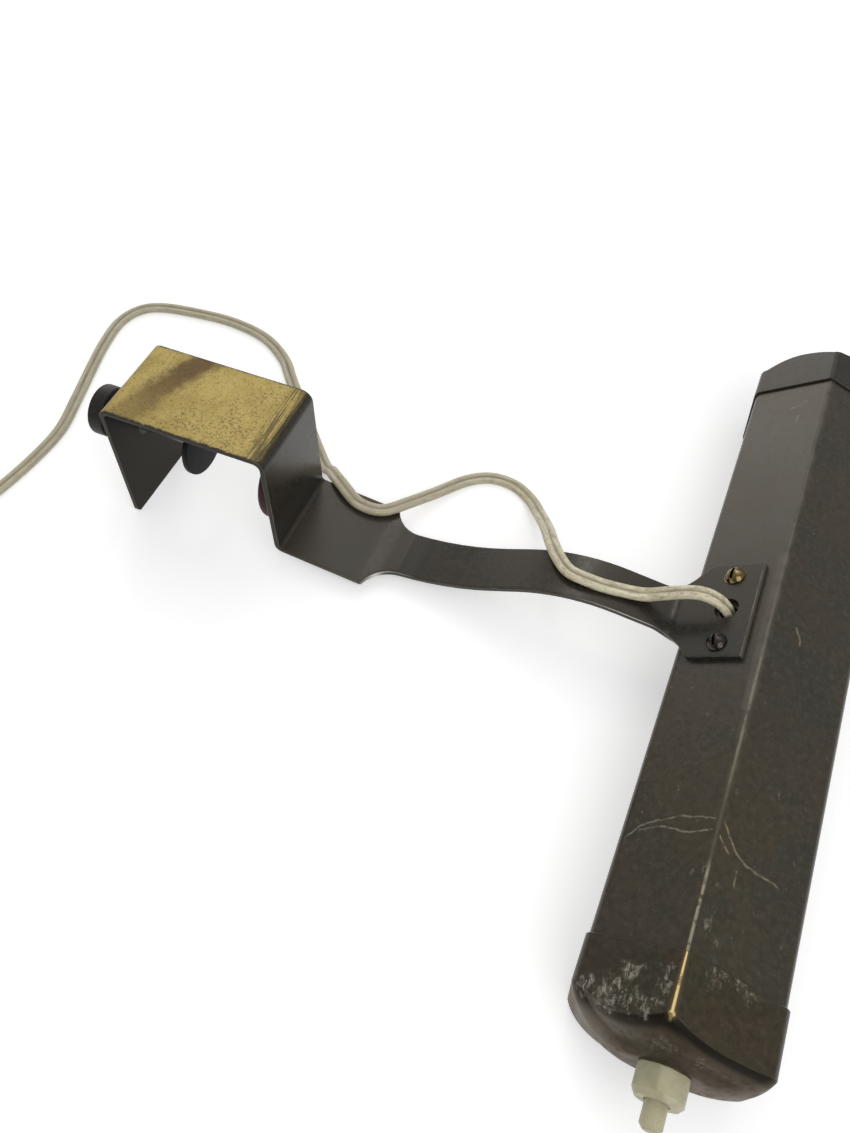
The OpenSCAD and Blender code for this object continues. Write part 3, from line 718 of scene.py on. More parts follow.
def make_turned():
    """The turned pieces: the knob and the two pads on the clamp, and the push button."""
    start, end = span("clamp_knob", 0)
    r = span("clamp_knob", 1)[1]
    profile = turned_profile([(0, start + 0.4), (r * 0.6, start + 0.4), (r * 0.66, start),
                              (r, start), (r, end), (0, end)], (0, 0.3, 0.3, 0.8, 0.8, 0))
    knob = make_piece("knob", lathe(profile, on_screw), "screw", "black_moulding", "clamp_knob")
    start, end = span("pressure_pad", 0)
    r = span("pressure_pad", 1)[1]
    profile = eased([(0, start), (r - 3, start), (r - 2.4, start + 1.4), (r, start + 1.4),
                     (r, end), (0, end)], 0.45)
    pad = make_piece("pad", lathe(profile, on_screw), "pad", "black_moulding", "pressure_pad")
    start, end = span("jaw_pad", 0)
    r = span("jaw_pad", 1)[1]
    middle = sum(span("jaw_pad", 2)) / 2
    profile = turned_profile([(0, start), (r, start), (r, end), (0, end)], (0, 2.6, 0.2, 0))
    red_pad = make_piece("red_pad", lathe(profile, lambda a, u, h: Vector((h, a, middle + u))),
                         "lamp", "red_rubber", "jaw_pad")
    tip, tail = span("switch_button", 1)
    r = span("switch_button", 0)[1] - AXIS.x
    profile = eased([(0, tip), (r - 1.3, tip), (r, tip + 1.3), (r, tail), (0, tail)], 0.45)
    button = make_piece("button", lathe(profile, on_axis, 64), "button", "ivory_moulding",
                        "switch_button")
    return knob, pad, red_pad, button


def make_collar():
    """The hexagonal collar with its corners turned off."""
    start, end = span("switch_collar", 1)
    corner = COLLAR_R / cos(pi / 6) - 0.35
    profile = eased([(COLLAR_R - 1, start), (COLLAR_R + 1, start + 1.8),
                     (COLLAR_R + 1, end - 0.5), (COLLAR_R + 0.5, end)], 0.8)
    sides = []
    for k in range(COLLAR_PARTS):
        fold = (2 * pi * k / COLLAR_PARTS + COLLAR_TURN) % (pi / 3) - pi / 6
        shares = [exp(-r / COLLAR_EASE) for r in (COLLAR_R / cos(fold), corner)]
        sides.append(-COLLAR_EASE * log(sum(shares)))
    rings = [circle(on_axis, [min(r, side) for side in sides], y) for r, y in profile]
    bore = ((5.1, end), (5.1, start + 0.8), (3.5, start + 0.8), (3.5, start + 0.2), (3.7, start))
    rings += [circle(on_axis, [r] * COLLAR_PARTS, y) for r, y in bore]
    return make_piece("collar", looped(rings), "lamp", "ivory_moulding", "switch_collar", sharp=40)


# Materials

class Nodes:
    """The shader nodes of a material or of the world."""

    def __init__(self, tree):
        self.tree = tree

    def put(self, socket, value):
        if isinstance(value, bpy.types.NodeSocket):
            self.tree.links.new(value, socket)
        elif socket.type == "RGBA":
            socket.default_value = (*value, 1)
        else:
            socket.default_value = value

    def new(self, kind):
        return self.tree.nodes.new("ShaderNode" + kind)

    def add(self, kind, inputs, output=0, **props):
        """Adds a node, sets its properties and inputs, and gives one of its outputs."""
        node = self.new(kind)
        for key, value in props.items():
            setattr(node, key, value)
        for key, value in inputs.items():
            self.put(node.inputs[key], value)
        return node.outputs[output]

    def calc(self, operation, a, b=0, clamp=False):
        return self.add("Math", {0: a, 1: b}, operation=operation, use_clamp=clamp)

    def times(self, *values):
        result = values[0]
        for value in values[1:]:
            result = self.calc("MULTIPLY", result, value)
        return result

    def fade(self, value, low, high, start=0, end=1):
        """start at low, end at high, smooth between."""
        inputs = {"Value": value, "From Min": low, "From Max": high, "To Min": start,
                  "To Max": end}
        return self.add("MapRange", inputs, interpolation_type="SMOOTHSTEP")

    def vector(self, operation, a, b=(0, 0, 0), scale=1, output=0):
        return self.add("VectorMath", {0: a, 1: b, 3: scale}, output, operation=operation)

    def measure(self, operation, a, b=(0, 0, 0)):
        return self.vector(operation, a, b, output=1)

    def mix(self, factor, a, b):
        return self.add("Mix", {0: factor, 6: a, 7: b}, 2, data_type="RGBA")

    def level(self, factor, a, b):
        return self.add("Mix", {0: factor, 2: a, 3: b}, data_type="FLOAT")


class Look(Nodes):
    """A procedural material, with places in millimetres."""

    def __init__(self, name):
        self.mat = bpy.data.materials.new(name)
        self.mat.use_nodes = True
        super().__init__(self.mat.node_tree)
        self.shader = self.tree.nodes["Principled BSDF"]
        coord = self.add("TexCoord", {}, "Object")
        self.place = self.vector("SCALE", coord, scale=1 / MM)
        self.x, self.y, self.z = self.split(self.place)

    def split(self, vector):
        node = self.new("SeparateXYZ")
        self.put(node.inputs[0], vector)
        return node.outputs

    def set(self, **values):
        for key, value in values.items():
            self.put(self.shader.inputs[key.replace("_", " ")], value)

    def share(self, name):
        """What mark() gave the piece's points."""
        return self.add("Attribute", {}, "Fac", attribute_name=name)

    def noise(self, scale, detail, rough, stretch=(1, 1, 1), shift=0):
        at = self.add("Mapping", {"Vector": self.place, "Scale": stretch,
                                            "Location": (shift, shift * 1.7, shift * 0.6)})
        return self.noise_at(at, scale, detail, rough)

    def noise_at(self, at, scale, detail, rough):
        return self.add("TexNoise", {"Vector": at, "Scale": scale, "Detail": detail,
                                               "Roughness": rough}, "Fac")

    def wavered(self, amount):
        """Places shifted a little to and fro, for lines drawn by use."""
        tone = self.add("TexNoise", {"Vector": self.place, "Scale": 0.3}, "Color")
        shift = self.vector("SUBTRACT", tone, (0.5, 0.5, 0.5))
        return self.vector("ADD", self.place, self.vector("SCALE", shift, scale=2 * amount))

    def stroke(self, points, width, waver):
        """1 along a line through the points, 0 beyond width from it."""
        place = self.wavered(waver)
        result = 0
        for a, b in zip(points, points[1:]):
            run = Vector(b) - Vector(a)
            start = self.vector("SUBTRACT", place, a)
            share = self.measure("DOT_PRODUCT", start, run / run.length_squared)
            share = self.calc("MINIMUM", self.calc("MAXIMUM", share), 1)
            rest = self.vector("SUBTRACT", start, self.vector("SCALE", run, scale=share))
            near = self.fade(self.measure("LENGTH", rest), width, width * 0.3)
            result = self.calc("MAXIMUM", near, result)
        return result

    def spots(self, places, waver=0):
        """1 at each of some places, fading to 0 at the radius given with it."""
        at = self.wavered(waver) if waver else self.place
        result = 0
        for centre, radius in places:
            off = self.measure("DISTANCE", at, centre)
            result = self.calc("MAXIMUM", self.fade(off, radius, radius * 0.3), result)
        return result

    def bump(self, height, strength, distance):
        self.set(Normal=self.add("Bump", {"Height": height, "Strength": strength,
                                                    "Distance": distance * MM}))


PATINA_BROWN = (0.044, 0.034, 0.0185)
PATINA_RED = (0.039, 0.0305, 0.0205)
PATINA_GREEN = (0.03, 0.032, 0.023)
PATINA_DARK = (0.018, 0.015, 0.011)
PATINA_PALE = (0.07, 0.06, 0.044)
WARM_GLOSS = (1, 0.94, 0.85)
BROWN_GLOSS = (1, 0.88, 0.74)


class Patina(Look):
    """Patina on brass: clouds of brown, red-brown and green-grey, finely specked, half glossy."""

    def __init__(self, name):
        super().__init__(name)
        self.cloud = self.noise(0.03, 4, 0.6)
        tint = self.noise(0.04, 4, 0.65, shift=31)
        self.grain = self.noise(0.5, 5, 0.62, shift=9)
        self.fine = self.noise(3, 2, 0.5, shift=3)
        self.colour = self.mix(self.fade(self.cloud, 0.4, 0.6), PATINA_BROWN, PATINA_RED)
        self.tone(self.fade(tint, 0.48, 0.62), 0.65, PATINA_GREEN)
        self.tone(self.fade(self.grain, 0.5, 0.36), 0.45, PATINA_DARK)
        self.tone(self.fade(self.grain, 0.52, 0.7), 0.45, PATINA_PALE)
        rough = self.fade(tint, 0.35, 0.65, 0.3, 0.24)
        self.rough = self.fade(self.grain, 0.45, 0.8, rough, 0.44)
        self.metal = 0

    def tone(self, mask, strength, colour):
        self.colour = self.mix(self.times(mask, strength), self.colour, colour)

    def wear_and_painted_light(self, mask, colour, rough, metal):
        """Shows another surface where the mask is 1: wear, and in some places painted shade and
        highlights.
        """
        self.colour = self.mix(mask, self.colour, colour)
        self.rough = self.level(mask, self.rough, rough)
        self.metal = self.level(mask, self.metal, metal)

    def finish(self, ior, gloss=WARM_GLOSS):
        self.set(Base_Color=self.colour, Roughness=self.rough, Metallic=self.metal, IOR=ior,
                 Specular_Tint=gloss)
        self.bump(self.calc("ADD", self.fine, self.times(self.cloud, 6)), 0.05, 0.12)
        return self


BRASS = (0.68, 0.525, 0.245)
DULL_BRASS = (0.12, 0.086, 0.038)
PALE_RUB = (0.35, 0.325, 0.27)
FLECK = (0.15, 0.128, 0.095)
RIDGE_RUB_AND_SHEEN = (0.12, 0.104, 0.08)
GREY_RUB_AND_SHEEN = (0.118, 0.105, 0.088)
RIDGE_LINE = (0.27, 0.235, 0.17)

# Marks of use: how far down a roof face from the ridge, and where along it
SCRATCHES_LEFT = (((27.6, -85.4), (24.1, -80.7), (12.5, -76.2), (1.8, -76.1)),
                  ((23.6, -82.3), (17.7, -80.3), (8.1, -81.2), (1.8, -79.6)),
                  ((13, 102.1), (8.7, 102.1), (7.8, 105.3)), ((9.6, 92), (9.6, 97.5)))
SCRATCHES_RIGHT = (((1.4, -76.4), (6.5, -82.4), (10.6, -84.8), (15.8, -85.1), (22.1, -85.4)),
                   ((1.2, -81), (4.6, -84.4)), ((8.6, -88), (9.2, -92.5)),
                   ((9.5, -1.5), (11.2, -3.5), (12.2, -6.7)))
# A rubbed band beside the ridge by the plate, which is also a painted highlight
RUB_AND_SHEEN_BY_PLATE = ((1.4, 24), (1.4, -18), (0.8, -38))
# Which way each face falls, its scratches, their width, tone and share of bare metal
SCRATCHES = ((DOWN, SCRATCHES_LEFT, 0.42, (0.19, 0.165, 0.125), 0.2),
             (DOWN_RIGHT, SCRATCHES_RIGHT, 0.46, (0.24, 0.205, 0.125), 0.3))

# Scuffs: places and radii
SCUFFS_NEAR_CAP = (((187, -130, -25.4), 5), ((193.5, -129.5, -20.6), 6.5),
                   ((200.5, -131, -15.6), 5), ((196.7, -123.2, -18.5), 3.5),
                   ((205.2, -120.6, -12.4), 2.2), ((205.2, -125.1, -12.4), 2.4),
                   ((205.4, -129, -12.2), 2.2), ((216.5, -118.8, -13.5), 3.2),
                   ((219.5, -114.5, -14.8), 2.4), ((224.2, -116.6, -16.7), 2.6),
                   ((227.5, -118.4, -18.1), 2.6), ((225.2, -112.6, -17.2), 1.6),
                   ((209.5, -137.5, -19), 4.2), ((219, -138, -20), 2.6))
SCUFFS_SHADE = (((211.5, -105, -12.3), 3), ((215, -108.5, -13.8), 2.5),
                ((210.9, 61.3, -12.1), 1.6))


def from_ridge(look):
    """How far a place is from the ridge, to the left or right."""
    lean = tan((SLOPE_LEFT - SLOPE_RIGHT) / 2)
    off = look.vector("SUBTRACT", look.place, (RIDGE.x, 0, RIDGE.y))
    return look.calc("ABSOLUTE", look.measure("DOT_PRODUCT", off, (1, 0, lean)))


def on_roof(points, way):
    """Places on the roof face that falls this way, from distances down it and along it."""
    return [(RIDGE.x + down * way.x, y, RIDGE.y + down * way.y) for down, y in points]


def shade_look():
    look = Patina("shade_patina")
    off = from_ridge(look)
    run = look.fade(look.noise(0.1, 5, 0.7, shift=21), 0.36, 0.62)
    # A worn band along the ridge and a rub beside it by the plate; both also paint a highlight that
    # stands for the sheen of a rounder fold
    band = look.times(look.fade(off, 2, 0.2), look.level(run, 0.04, 0.5),
                      look.fade(look.y, -86, -50))
    look.wear_and_painted_light(band, RIDGE_RUB_AND_SHEEN, 0.42, 0.1)
    rub_and_sheen = look.stroke(on_roof(RUB_AND_SHEEN_BY_PLATE, DOWN), 2.2, 0.6)
    look.wear_and_painted_light(look.times(rub_and_sheen, look.level(run, 0.25, 0.55)), GREY_RUB_AND_SHEEN, 0.42, 0.1)
    broken = look.fade(look.noise(0.35, 4, 0.7, shift=27), 0.36, 0.5)
    middle = look.times(look.fade(look.y, -75, -50), look.fade(look.y, 5, -30), 0.4)
    near = look.calc("MAXIMUM", look.fade(look.y, -87, -94), middle)
    look.wear_and_painted_light(look.times(look.fade(off, 0.6, 0.2), broken, near), RIDGE_LINE, 0.36, 0.4)
    flecks = look.fade(look.noise(0.5, 3, 0.6, (1, 0.5, 1), 41), 0.67, 0.73)
    look.wear_and_painted_light(look.times(flecks, 0.6), FLECK, 0.4, 0.2)
    scuffs = look.times(look.spots(SCUFFS_SHADE, 5), scuffed(look), 0.6)
    look.wear_and_painted_light(scuffs, PALE_RUB, 0.45, 0.2)
    hair = look.fade(look.noise(0.35, 5, 0.7, shift=17), 0.38, 0.52, 0.2, 1)
    for way, scratches, width, tone, metal in SCRATCHES:
        for points in scratches:
            mask = look.times(look.stroke(on_roof(points, way), width, 0.8), hair)
            look.wear_and_painted_light(mask, tone, 0.4, metal)
    return look.finish(1.5)


CREASE_PAINTED_SHADE = (0.008, 0.0065, 0.005)
DOME_BROWN = (0.036, 0.024, 0.014)
RIM_PAINTED_REFLECTION = (0.12, 0.096, 0.07)
FAR_CAP_GREY = (0.014, 0.0145, 0.0155)


def cap_look(name, side):
    look = Patina(name)
    dome = look.share("dome")
    # Painted shade: a dark stripe just past the crease, where the dome turns away from the light
    dark = look.times(look.fade(dome, 0, 0.08), look.fade(dome, 0.62, 0.3))
    look.wear_and_painted_light(look.times(dark, 0.85), CREASE_PAINTED_SHADE, 0.45, 0.8)
    clouds = look.fade(look.grain, 0.4, 0.6, 0.45, 0.8)
    look.wear_and_painted_light(look.times(look.fade(dome, 0.3, 0.7), clouds), DOME_BROWN, 0.5, 0.7)
    if side > 0:
        look.colour = look.mix(0.5, look.colour, FAR_CAP_GREY)
        return look.finish(1.4)
    # Painted reflection: the dome's left rim is lighter, as from a pale grazing reflection
    rim = look.times(look.fade(look.x, 202, 186), look.fade(dome, 0.3, 0.8), 0.7)
    look.wear_and_painted_light(rim, RIM_PAINTED_REFLECTION, 0.4, 0.2)
    faint = look.fade(dome, 0.1, 0.4, 1, 0.3)
    scuffs = look.times(look.spots(SCUFFS_NEAR_CAP, 5), scuffed(look), faint)
    look.wear_and_painted_light(scuffs, PALE_RUB, 0.45, 0.2)
    add_brass_ridge(look)
    return look.finish(1.4, BROWN_GLOSS)


def scuffed(look):
    """Ragged pale streaks where the patina is rubbed thin."""
    coarse = look.fade(look.noise(0.22, 5, 0.7, (1, 0.6, 1), 51), 0.38, 0.52)
    streaks = look.fade(look.noise(0.7, 8, 0.85, (1.3, 0.55, 1.3), 61), 0.46, 0.6)
    return look.times(coarse, streaks)


def add_brass_ridge(look):
    """Bare brass along the near cap's ridge, wider and brighter toward its corner, where a spot
    also stands for a painted glint.
    """
    width = look.fade(look.y, -106, -131, 0.15, 0.42)
    share = look.calc("DIVIDE", from_ridge(look), width)
    bare = look.fade(look.y, -133.4, -131.8)
    broken = look.fade(look.noise(0.35, 5, 0.7, shift=33), 0.36, 0.5, 0.3, 1)
    look.wear_and_painted_light(look.times(look.fade(share, 4.5, 0.9), bare, 0.6), DULL_BRASS, 0.4, 0.4)
    look.wear_and_painted_light(look.times(look.fade(share, 1.3, 0.5), bare, broken), BRASS, 0.24, 0.9)
    # A spot of bare brass at the ridge's corner, painted bright to stand for its glint
    corner = ((RIDGE.x, -131.4, RIDGE.y + 0.5), 1.15)
    look.wear_and_painted_light(look.spots([corner]), BRASS, 0.24, 0.9)


# The clamp's worn top
GOLD = (0.4, 0.303, 0.092)
GOLD_PALE = (0.485, 0.373, 0.121)
GOLD_GLINT = (0.54, 0.43, 0.17)
GOLD_PAINTED_REFLECTION = (0.125, 0.072, 0.026)
GOLD_SPECK = (0.06, 0.044, 0.02)
GOLD_SMUDGE = (0.09, 0.058, 0.024)
GOLD_LINES = (0.06, 0.048, 0.024)
GOLD_END = (0.05, 0.043, 0.025)
PAINTED_REFLECTION_BAND = ((-24, -19, 2), (-17.6, 1.3, 2), (-9.5, 20, 2))
THICK_SPECKS = (((17, -8, 2), 17), ((0, -12, 2), 12), ((22, 10, 2), 9))


def gold_colour(look):
    """Worn brass on the clamp's top: olive gold, a brown band of painted reflection, dark specks
    and worn lines.
    """
    cloud = look.noise(0.09, 4, 0.6, shift=2)
    gold = look.mix(look.fade(cloud, 0.35, 0.65), GOLD, GOLD_PALE)
    fine = look.noise(1.3, 8, 0.85, shift=14)
    more = look.times(look.fade(fine, 0.515, 0.555), look.spots(THICK_SPECKS), 0.85)
    speck = look.calc("MAXIMUM", look.fade(fine, 0.548, 0.585), more)
    smudge = look.fade(look.noise(0.3, 6, 0.8, shift=37), 0.54, 0.68)
    lines = look.fade(look.noise(1.5, 3, 0.6, (1, 0.04, 1), 23), 0.44, 0.54)
    for tone, *masks in (
            (GOLD_GLINT, look.fade(fine, 0.48, 0.36), 0.5),
            # A painted reflection: a brown band across the plate, where a dark thing mirrors in the
            # brass
            (GOLD_PAINTED_REFLECTION, look.stroke(PAINTED_REFLECTION_BAND, 8.5, 3),
             look.fade(look.y, -19, 12, 0.5, 0.95)),
            (GOLD_SPECK, speck, 0.9),
            (GOLD_SMUDGE, smudge, look.fade(look.y, -9, -17), 0.7),
            (GOLD_LINES, lines, look.fade(look.x, 23.5, 28.5), 0.8),
            (GOLD_END, look.fade(look.x, 28, 33), 0.6)):
        gold = look.mix(look.times(*masks), gold, tone)
    return gold


ARM_GREY = (0.02, 0.02, 0.0185)
JAW_INSIDE_PAINTED_SHADE = (0.01, 0.01, 0.0115)
FLANGE_LOW = (0.05, 0.046, 0.04)
BEND_PAINTED_SHADE = (0.006, 0.006, 0.0065)
STEP_PALE = (0.062, 0.058, 0.048)
SIDES_PAINTED_SHADE = (0.012, 0.0115, 0.011)
EDGE_RUB = (0.24, 0.215, 0.17)
EDGE_PAINTED_HIGHLIGHT = (0.9, 0.87, 0.8)
PAINTED_HIGHLIGHT_SPOTS = (((77, -13, -50), 11), ((162, -12, -37), 24))


def arm_look():
    look = Patina("arm_patina")
    look.colour = look.mix(0.5, look.colour, ARM_GREY)
    facing_x, facing_y, facing_z = look.split(look.add("NewGeometry", {}, "Normal"))
    # Painted shade: the outer jaw's inner face darkened, in the shaded gap between the jaws
    inside = look.times(look.fade(look.x, -25, -30), look.fade(facing_x, 0.3, 0.8), 0.95)
    look.wear_and_painted_light(inside, JAW_INSIDE_PAINTED_SHADE, 0.4, 0.9)
    low = look.times(look.fade(look.z, -28, -38), look.fade(facing_x, 0.5, 0.9), 0.5,
                     look.fade(look.x, 15, 20))
    look.wear_and_painted_light(low, FLANGE_LOW, 0.4, 0)
    # Painted shade: darker where the step plate bends up into the arm
    bend = look.times(look.fade(look.x, 69, 75), look.fade(look.x, 94, 84), 0.6)
    look.wear_and_painted_light(bend, BEND_PAINTED_SHADE, 0.35, 0)
    step = look.times(look.fade(look.x, 36, 44), look.fade(look.x, 70, 64), 0.35)
    look.wear_and_painted_light(step, STEP_PALE, 0.35, 0)
    add_edge_wear_and_light(look, look.calc("ABSOLUTE", facing_y))
    look.wear_and_painted_light(gold_mask(look, facing_z), gold_colour(look), 0.44, 0.45)
    return look.finish(1.43)


def add_edge_wear_and_light(look, across):
    """Painted shade on the strip's sides at the clamp, rubbed edges, and painted highlights on the
    upper edges in places.
    """
    edge = look.share("edge")
    rubbed = look.fade(look.noise(0.045, 4, 0.65, shift=12), 0.44, 0.6)
    rubbed = look.times(look.level(rubbed, 0.1, 0.55),
                        look.fade(look.x, 20, 36, 0.3, 1))
    rubbed = look.calc("MAXIMUM", rubbed, look.times(look.fade(edge, 1.1, 1.4), 0.45))
    # Painted shade: the strip's side faces darkened by which way they face
    sides = look.times(look.fade(across, 0.85, 0.98), look.fade(look.x, 60, 40), 0.7)
    look.wear_and_painted_light(sides, SIDES_PAINTED_SHADE, 0.45, 0.8)
    above = look.times(look.fade(edge, 0.6, 0.95), look.fade(across, 0.98, 0.85))
    look.wear_and_painted_light(look.times(above, rubbed), EDGE_RUB, 0.3, 0.5)
    # Painted highlight: thin bright lines on the upper edge rounding, at a few places
    bright = look.times(above, look.fade(across, 0.05, 0.25), look.fade(across, 0.9, 0.7),
                        look.spots(PAINTED_HIGHLIGHT_SPOTS))
    look.wear_and_painted_light(bright, EDGE_PAINTED_HIGHLIGHT, 0.22, 0.8)


def gold_mask(look, facing_z):
    """1 on the clamp's top plate, with ragged edges."""
    on_top = look.times(look.fade(look.z, 0.3, 1), look.fade(facing_z, 0.3, 0.8))
    ragged = look.times(look.noise(0.5, 5, 0.7, shift=5), 3)
    side = look.calc("ADD", look.calc("ABSOLUTE", look.y), ragged)
    drawn = look.times(look.noise(0.9, 4, 0.7, (1, 0.15, 1), 27), 4)
    end = look.calc("ADD", look.x, drawn)
    return look.times(on_top, look.fade(side, 20.3, 19.4), look.fade(end, 34.6, 32.6))


def plain_look(name, colour, other, rough, scale=0.25, metal=0, ior=1.5, bump=0.08):
    """A moulded or drawn surface with soft uneven tone and fine grain."""
    look = Look(name)
    cloud = look.noise(scale, 4, 0.6)
    fine = look.noise(scale * 9, 3, 0.6, shift=6)
    look.colour = look.mix(look.fade(cloud, 0.35, 0.68), colour, other)
    look.set(Base_Color=look.colour, Metallic=metal, IOR=ior,
             Roughness=look.fade(fine, 0.3, 0.75, rough, rough + 0.14))
    look.bump(fine, bump, 0.1)
    return look


SLOT_PAINTED_SHADE = (0.007, 0.006, 0.005)


def screw_look(name, colour, other, side):
    """A polished head, with painted shade in its slot."""
    look = plain_look(name, colour, other, 0.13, 0.5, 1, bump=0.02)
    centre = on_plate(SCREWS_AT, side * SCREWS_Y, HEAD_TOP - HEAD_R)
    off = look.measure("DISTANCE", look.place, centre)
    # Painted shade: darker inside the slot, below the dome's surface
    deep = look.fade(off, HEAD_R - 0.15, HEAD_R - 0.45)
    look.set(Base_Color=look.mix(deep, look.colour, SLOT_PAINTED_SHADE))
    return look


SHEATH = (0.66, 0.59, 0.39)
SHEATH_PALE = (0.77, 0.71, 0.51)
SHEATH_GRIME = (0.24, 0.205, 0.135)
SHEATH_STREAK = (0.28, 0.235, 0.145)
SHEATH_CLEAN = (0.9, 0.85, 0.66)
SHEATH_FAR = (0.4, 0.36, 0.255)
GROOVE_DIRT = (0.15, 0.125, 0.08)


def cord_look():
    """Grubby off-white sheath, streaked along its run and darker between its cores."""
    look = Look("cord_sheath")
    cloud = look.fade(look.noise(0.06, 4, 0.6), 0.35, 0.65)
    grime = look.noise(0.28, 6, 0.75, shift=4)
    run = look.add("CombineXYZ", {0: look.times(look.share("along"), 0.3),
                                            1: look.times(look.share("around"), 0.5)})
    streak = look.noise_at(run, 1, 5, 0.72)
    fine = look.noise(4, 2, 0.5, shift=8)
    colour = look.mix(cloud, SHEATH, SHEATH_PALE)
    for tone, mask, strength in (
            (SHEATH_GRIME, look.fade(grime, 0.5, 0.7), 0.75),
            (SHEATH_STREAK, look.fade(streak, 0.52, 0.64), 0.7),
            (SHEATH_CLEAN, look.fade(streak, 0.48, 0.36), 0.8),
            (SHEATH_FAR, look.fade(look.x, 170, 60), 0.6),
            (GROOVE_DIRT, look.share("groove"), look.level(cloud, 0.6, 0.9))):
        colour = look.mix(look.times(mask, strength), colour, tone)
    look.set(Base_Color=colour, Roughness=look.fade(fine, 0.3, 0.7, 0.36, 0.55))
    look.bump(fine, 0.1, 0.1)
    return look


def dress(look, *things):
    """Gives a look to pieces, and to CAD nodes by their names."""
    for thing in things:
        if isinstance(thing, str):
            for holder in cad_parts[thing].material_slots:
                holder.material = look.mat
        else:
            thing.data.materials.clear()
            thing.data.materials.append(look.mat)


# Floor and light

FLOOR = 20000
FLOOR_WHITE = (0.8, 0.8, 0.8)
FLOOR_GLOW = 0.45
KEY_AT = Vector((0.75, -0.75, 1))
KEY_TO = Vector((0.12, 0, -0.03))
KEY_SIZE = 1.2
KEY_POWER = 8
# The room is dark in front, with a window low behind the lamp and a bright ceiling with a lamp
ROOM = (0.47, 0.47, 0.48)
ROOM_SIDES = (((0, -1, 0), 0.3, 0.9, (0.2, 0.2, 0.2)),
              ((-0.56, 0.8, 0.21), 0.92, 0.985, (2, 1.95, 1.88)),
              ((-0.12, 0.53, 0.84), 0.86, 0.98, (1.3, 1.28, 1.24)),
              ((-0.27, 0.6, 0.75), 0.99, 0.998, (7, 6.9, 6.7)))


def make_stage():
    corners = [Vector((x * FLOOR, y * FLOOR, Z_REST)) for x, y in SQUARE]
    floor = add_object("floor", solid_mesh("floor", corners, [(0, 1, 2, 3)]))
    look = Look("floor_white")
    look.set(Base_Color=FLOOR_WHITE, Roughness=0.9, Specular_IOR_Level=0.1)
    glow_where_seen(look)
    dress(look, floor)


def glow_where_seen(look):
    """Adds a little white to what the camera, gloss and glass see of the floor beside the shade."""
    path = look.new("LightPath").outputs
    seen = look.calc("ADD", path["Is Camera Ray"], path["Is Glossy Ray"])
    seen = look.calc("ADD", seen, path["Is Transmission Ray"], clamp=True)
    middle = (SECTION[0].x + SECTION[4].x) / 2
    off = look.calc("ABSOLUTE", look.calc("SUBTRACT", look.x, middle))
    along = look.calc("ABSOLUTE", look.y)
    under = look.times(look.fade(off, 21, 18), look.fade(along, 130, 120))
    glow = look.times(seen, FLOOR_GLOW, look.calc("SUBTRACT", 1, under))
    look.set(Emission_Color=(1, 1, 1), Emission_Strength=glow)


def make_light():
    world = bpy.data.worlds.new("world")
    bpy.context.scene.world = world
    world.use_nodes = True
    nodes = Nodes(world.node_tree)
    view = nodes.add("TexCoord", {}, "Generated")
    room = ROOM
    for side, low, high, tone in ROOM_SIDES:
        toward = nodes.fade(nodes.measure("DOT_PRODUCT", view, side), low, high)
        room = nodes.mix(toward, room, tone)
    nodes.put(nodes.tree.nodes["Background"].inputs["Color"], room)
    data = bpy.data.lights.new("key", "AREA")
    data.size = KEY_SIZE
    data.energy = KEY_POWER
    key = add_object("key", data)
    key.location = KEY_AT
    key.rotation_euler = (KEY_TO - KEY_AT).to_track_quat("-Z", "Y").to_euler()


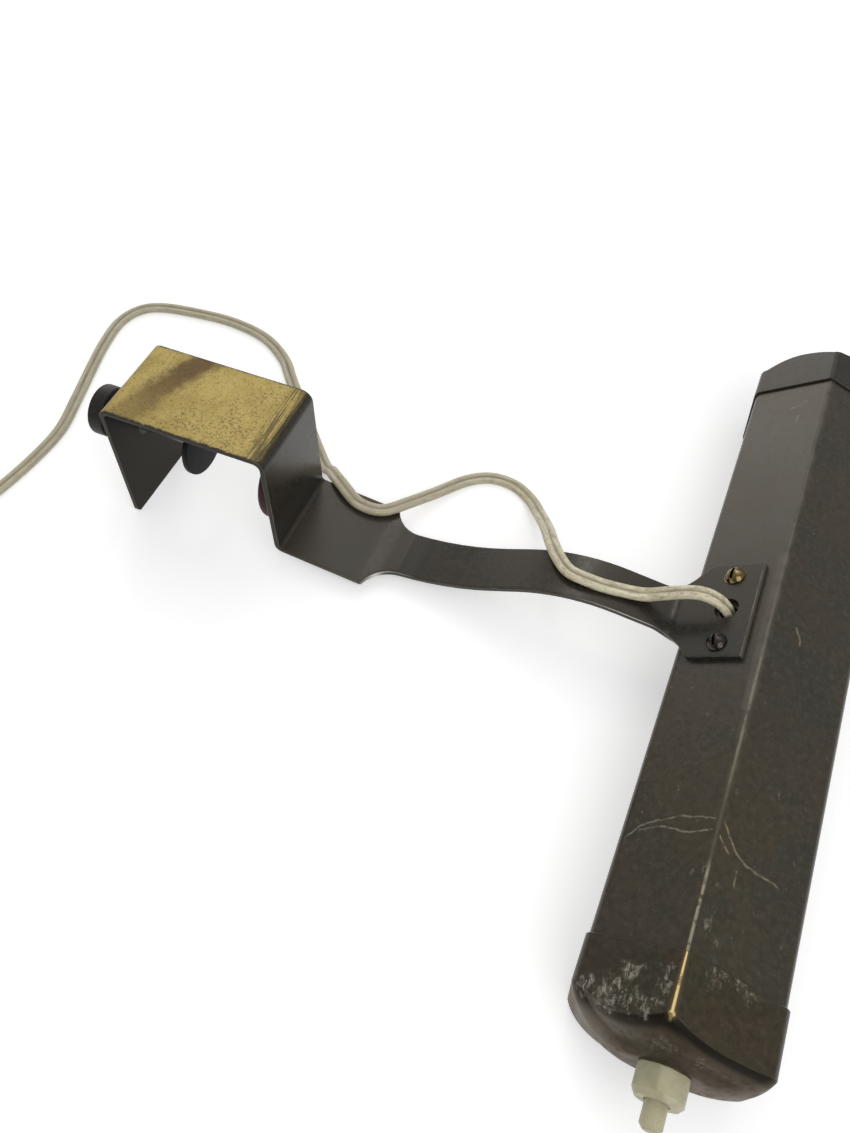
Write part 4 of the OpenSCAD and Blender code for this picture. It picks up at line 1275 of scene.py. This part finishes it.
# Plain materials: two tones, roughness, and where they differ grain, metal and IOR
PLAIN = {
    "ivory_moulding": ((0.495, 0.465, 0.3), (0.415, 0.39, 0.247), 0.34),
    "black_moulding": ((0.02, 0.019, 0.018), (0.03, 0.027, 0.024), 0.42, 0.25, 0, 1.33),
    # The black moulding darkened as painted shade, for the pad in the clamp's shadow
    "pad_moulding_painted_shade": ((0.006, 0.006, 0.006), (0.01, 0.01, 0.01), 0.44, 0.25, 0, 1.25),
    "red_rubber": ((0.05, 0.0035, 0.007), (0.032, 0.003, 0.005), 0.5, 0.25, 0, 1.33),
    "worn_brass": ((0.3, 0.23, 0.1), (0.2, 0.15, 0.07), 0.3, 0.5, 0.9),
    "dark_brass": ((0.018, 0.016, 0.014), (0.035, 0.029, 0.022), 0.4, 0.5),
    "plated_steel": ((0.27, 0.27, 0.26), (0.2, 0.2, 0.19), 0.3, 0.4, 0.9),
    "white_moulding": ((0.7, 0.68, 0.62), (0.62, 0.6, 0.53), 0.3),
    "opal_glass": ((0.82, 0.81, 0.77), (0.78, 0.77, 0.72), 0.15),
    "lead_sheath": ((0.47, 0.43, 0.3), (0.38, 0.34, 0.23), 0.5)}
SCREW_TONES = (("screw_brass", (0.24, 0.185, 0.085), (0.17, 0.125, 0.058), 1),
               ("screw_dark", (0.05, 0.044, 0.04), (0.075, 0.062, 0.05), -1))


def build():
    make_camera()
    flex, line = make_cord()
    plug, tie = make_plug(), make_tie()
    [tuple(p * MM) for p in line]
    dress(cord_look(), flex)
    dress(arm_look(), make_arm())
    dress(cap_look("near_cap_patina", -1), make_cap("near_cap", "switch_end_cap", -1))
    dress(cap_look("far_cap_patina", 1), make_cap("far_cap", "far_end_cap", 1))
    for screw, tones in zip(make_screws(), SCREW_TONES):
        dress(screw_look(*tones), screw)
    knob, pad, red_pad, button = make_turned()
    collar = make_collar()
    dress(shade_look(), "shade")
    dressed = {
        "ivory_moulding": (plug, tie, collar, button, "switch_body"),
        "black_moulding": (knob,),
        "pad_moulding_painted_shade": (pad,),
        "red_rubber": (red_pad,),
        "worn_brass": ("bracket_nuts", "switch_terminals", "holder_nut", "holder_terminals",
                       "lamp_cap"),
        "dark_brass": ("screw_bush",),
        "plated_steel": ("clamp_screw", "bracket_washers", "holder_bracket", "plug_pins"),
        "white_moulding": ("lampholder",),
        "opal_glass": ("lamp_glass",),
        "lead_sheath": ("switch_lead", "holder_lead", "link_lead")}
    for name, things in dressed.items():
        dress(plain_look(name, *PLAIN[name]), *things)
    make_stage()
    make_light()
    bpy.context.scene.view_settings.view_transform = "Standard"


build()
bpy.context.view_layer.update()
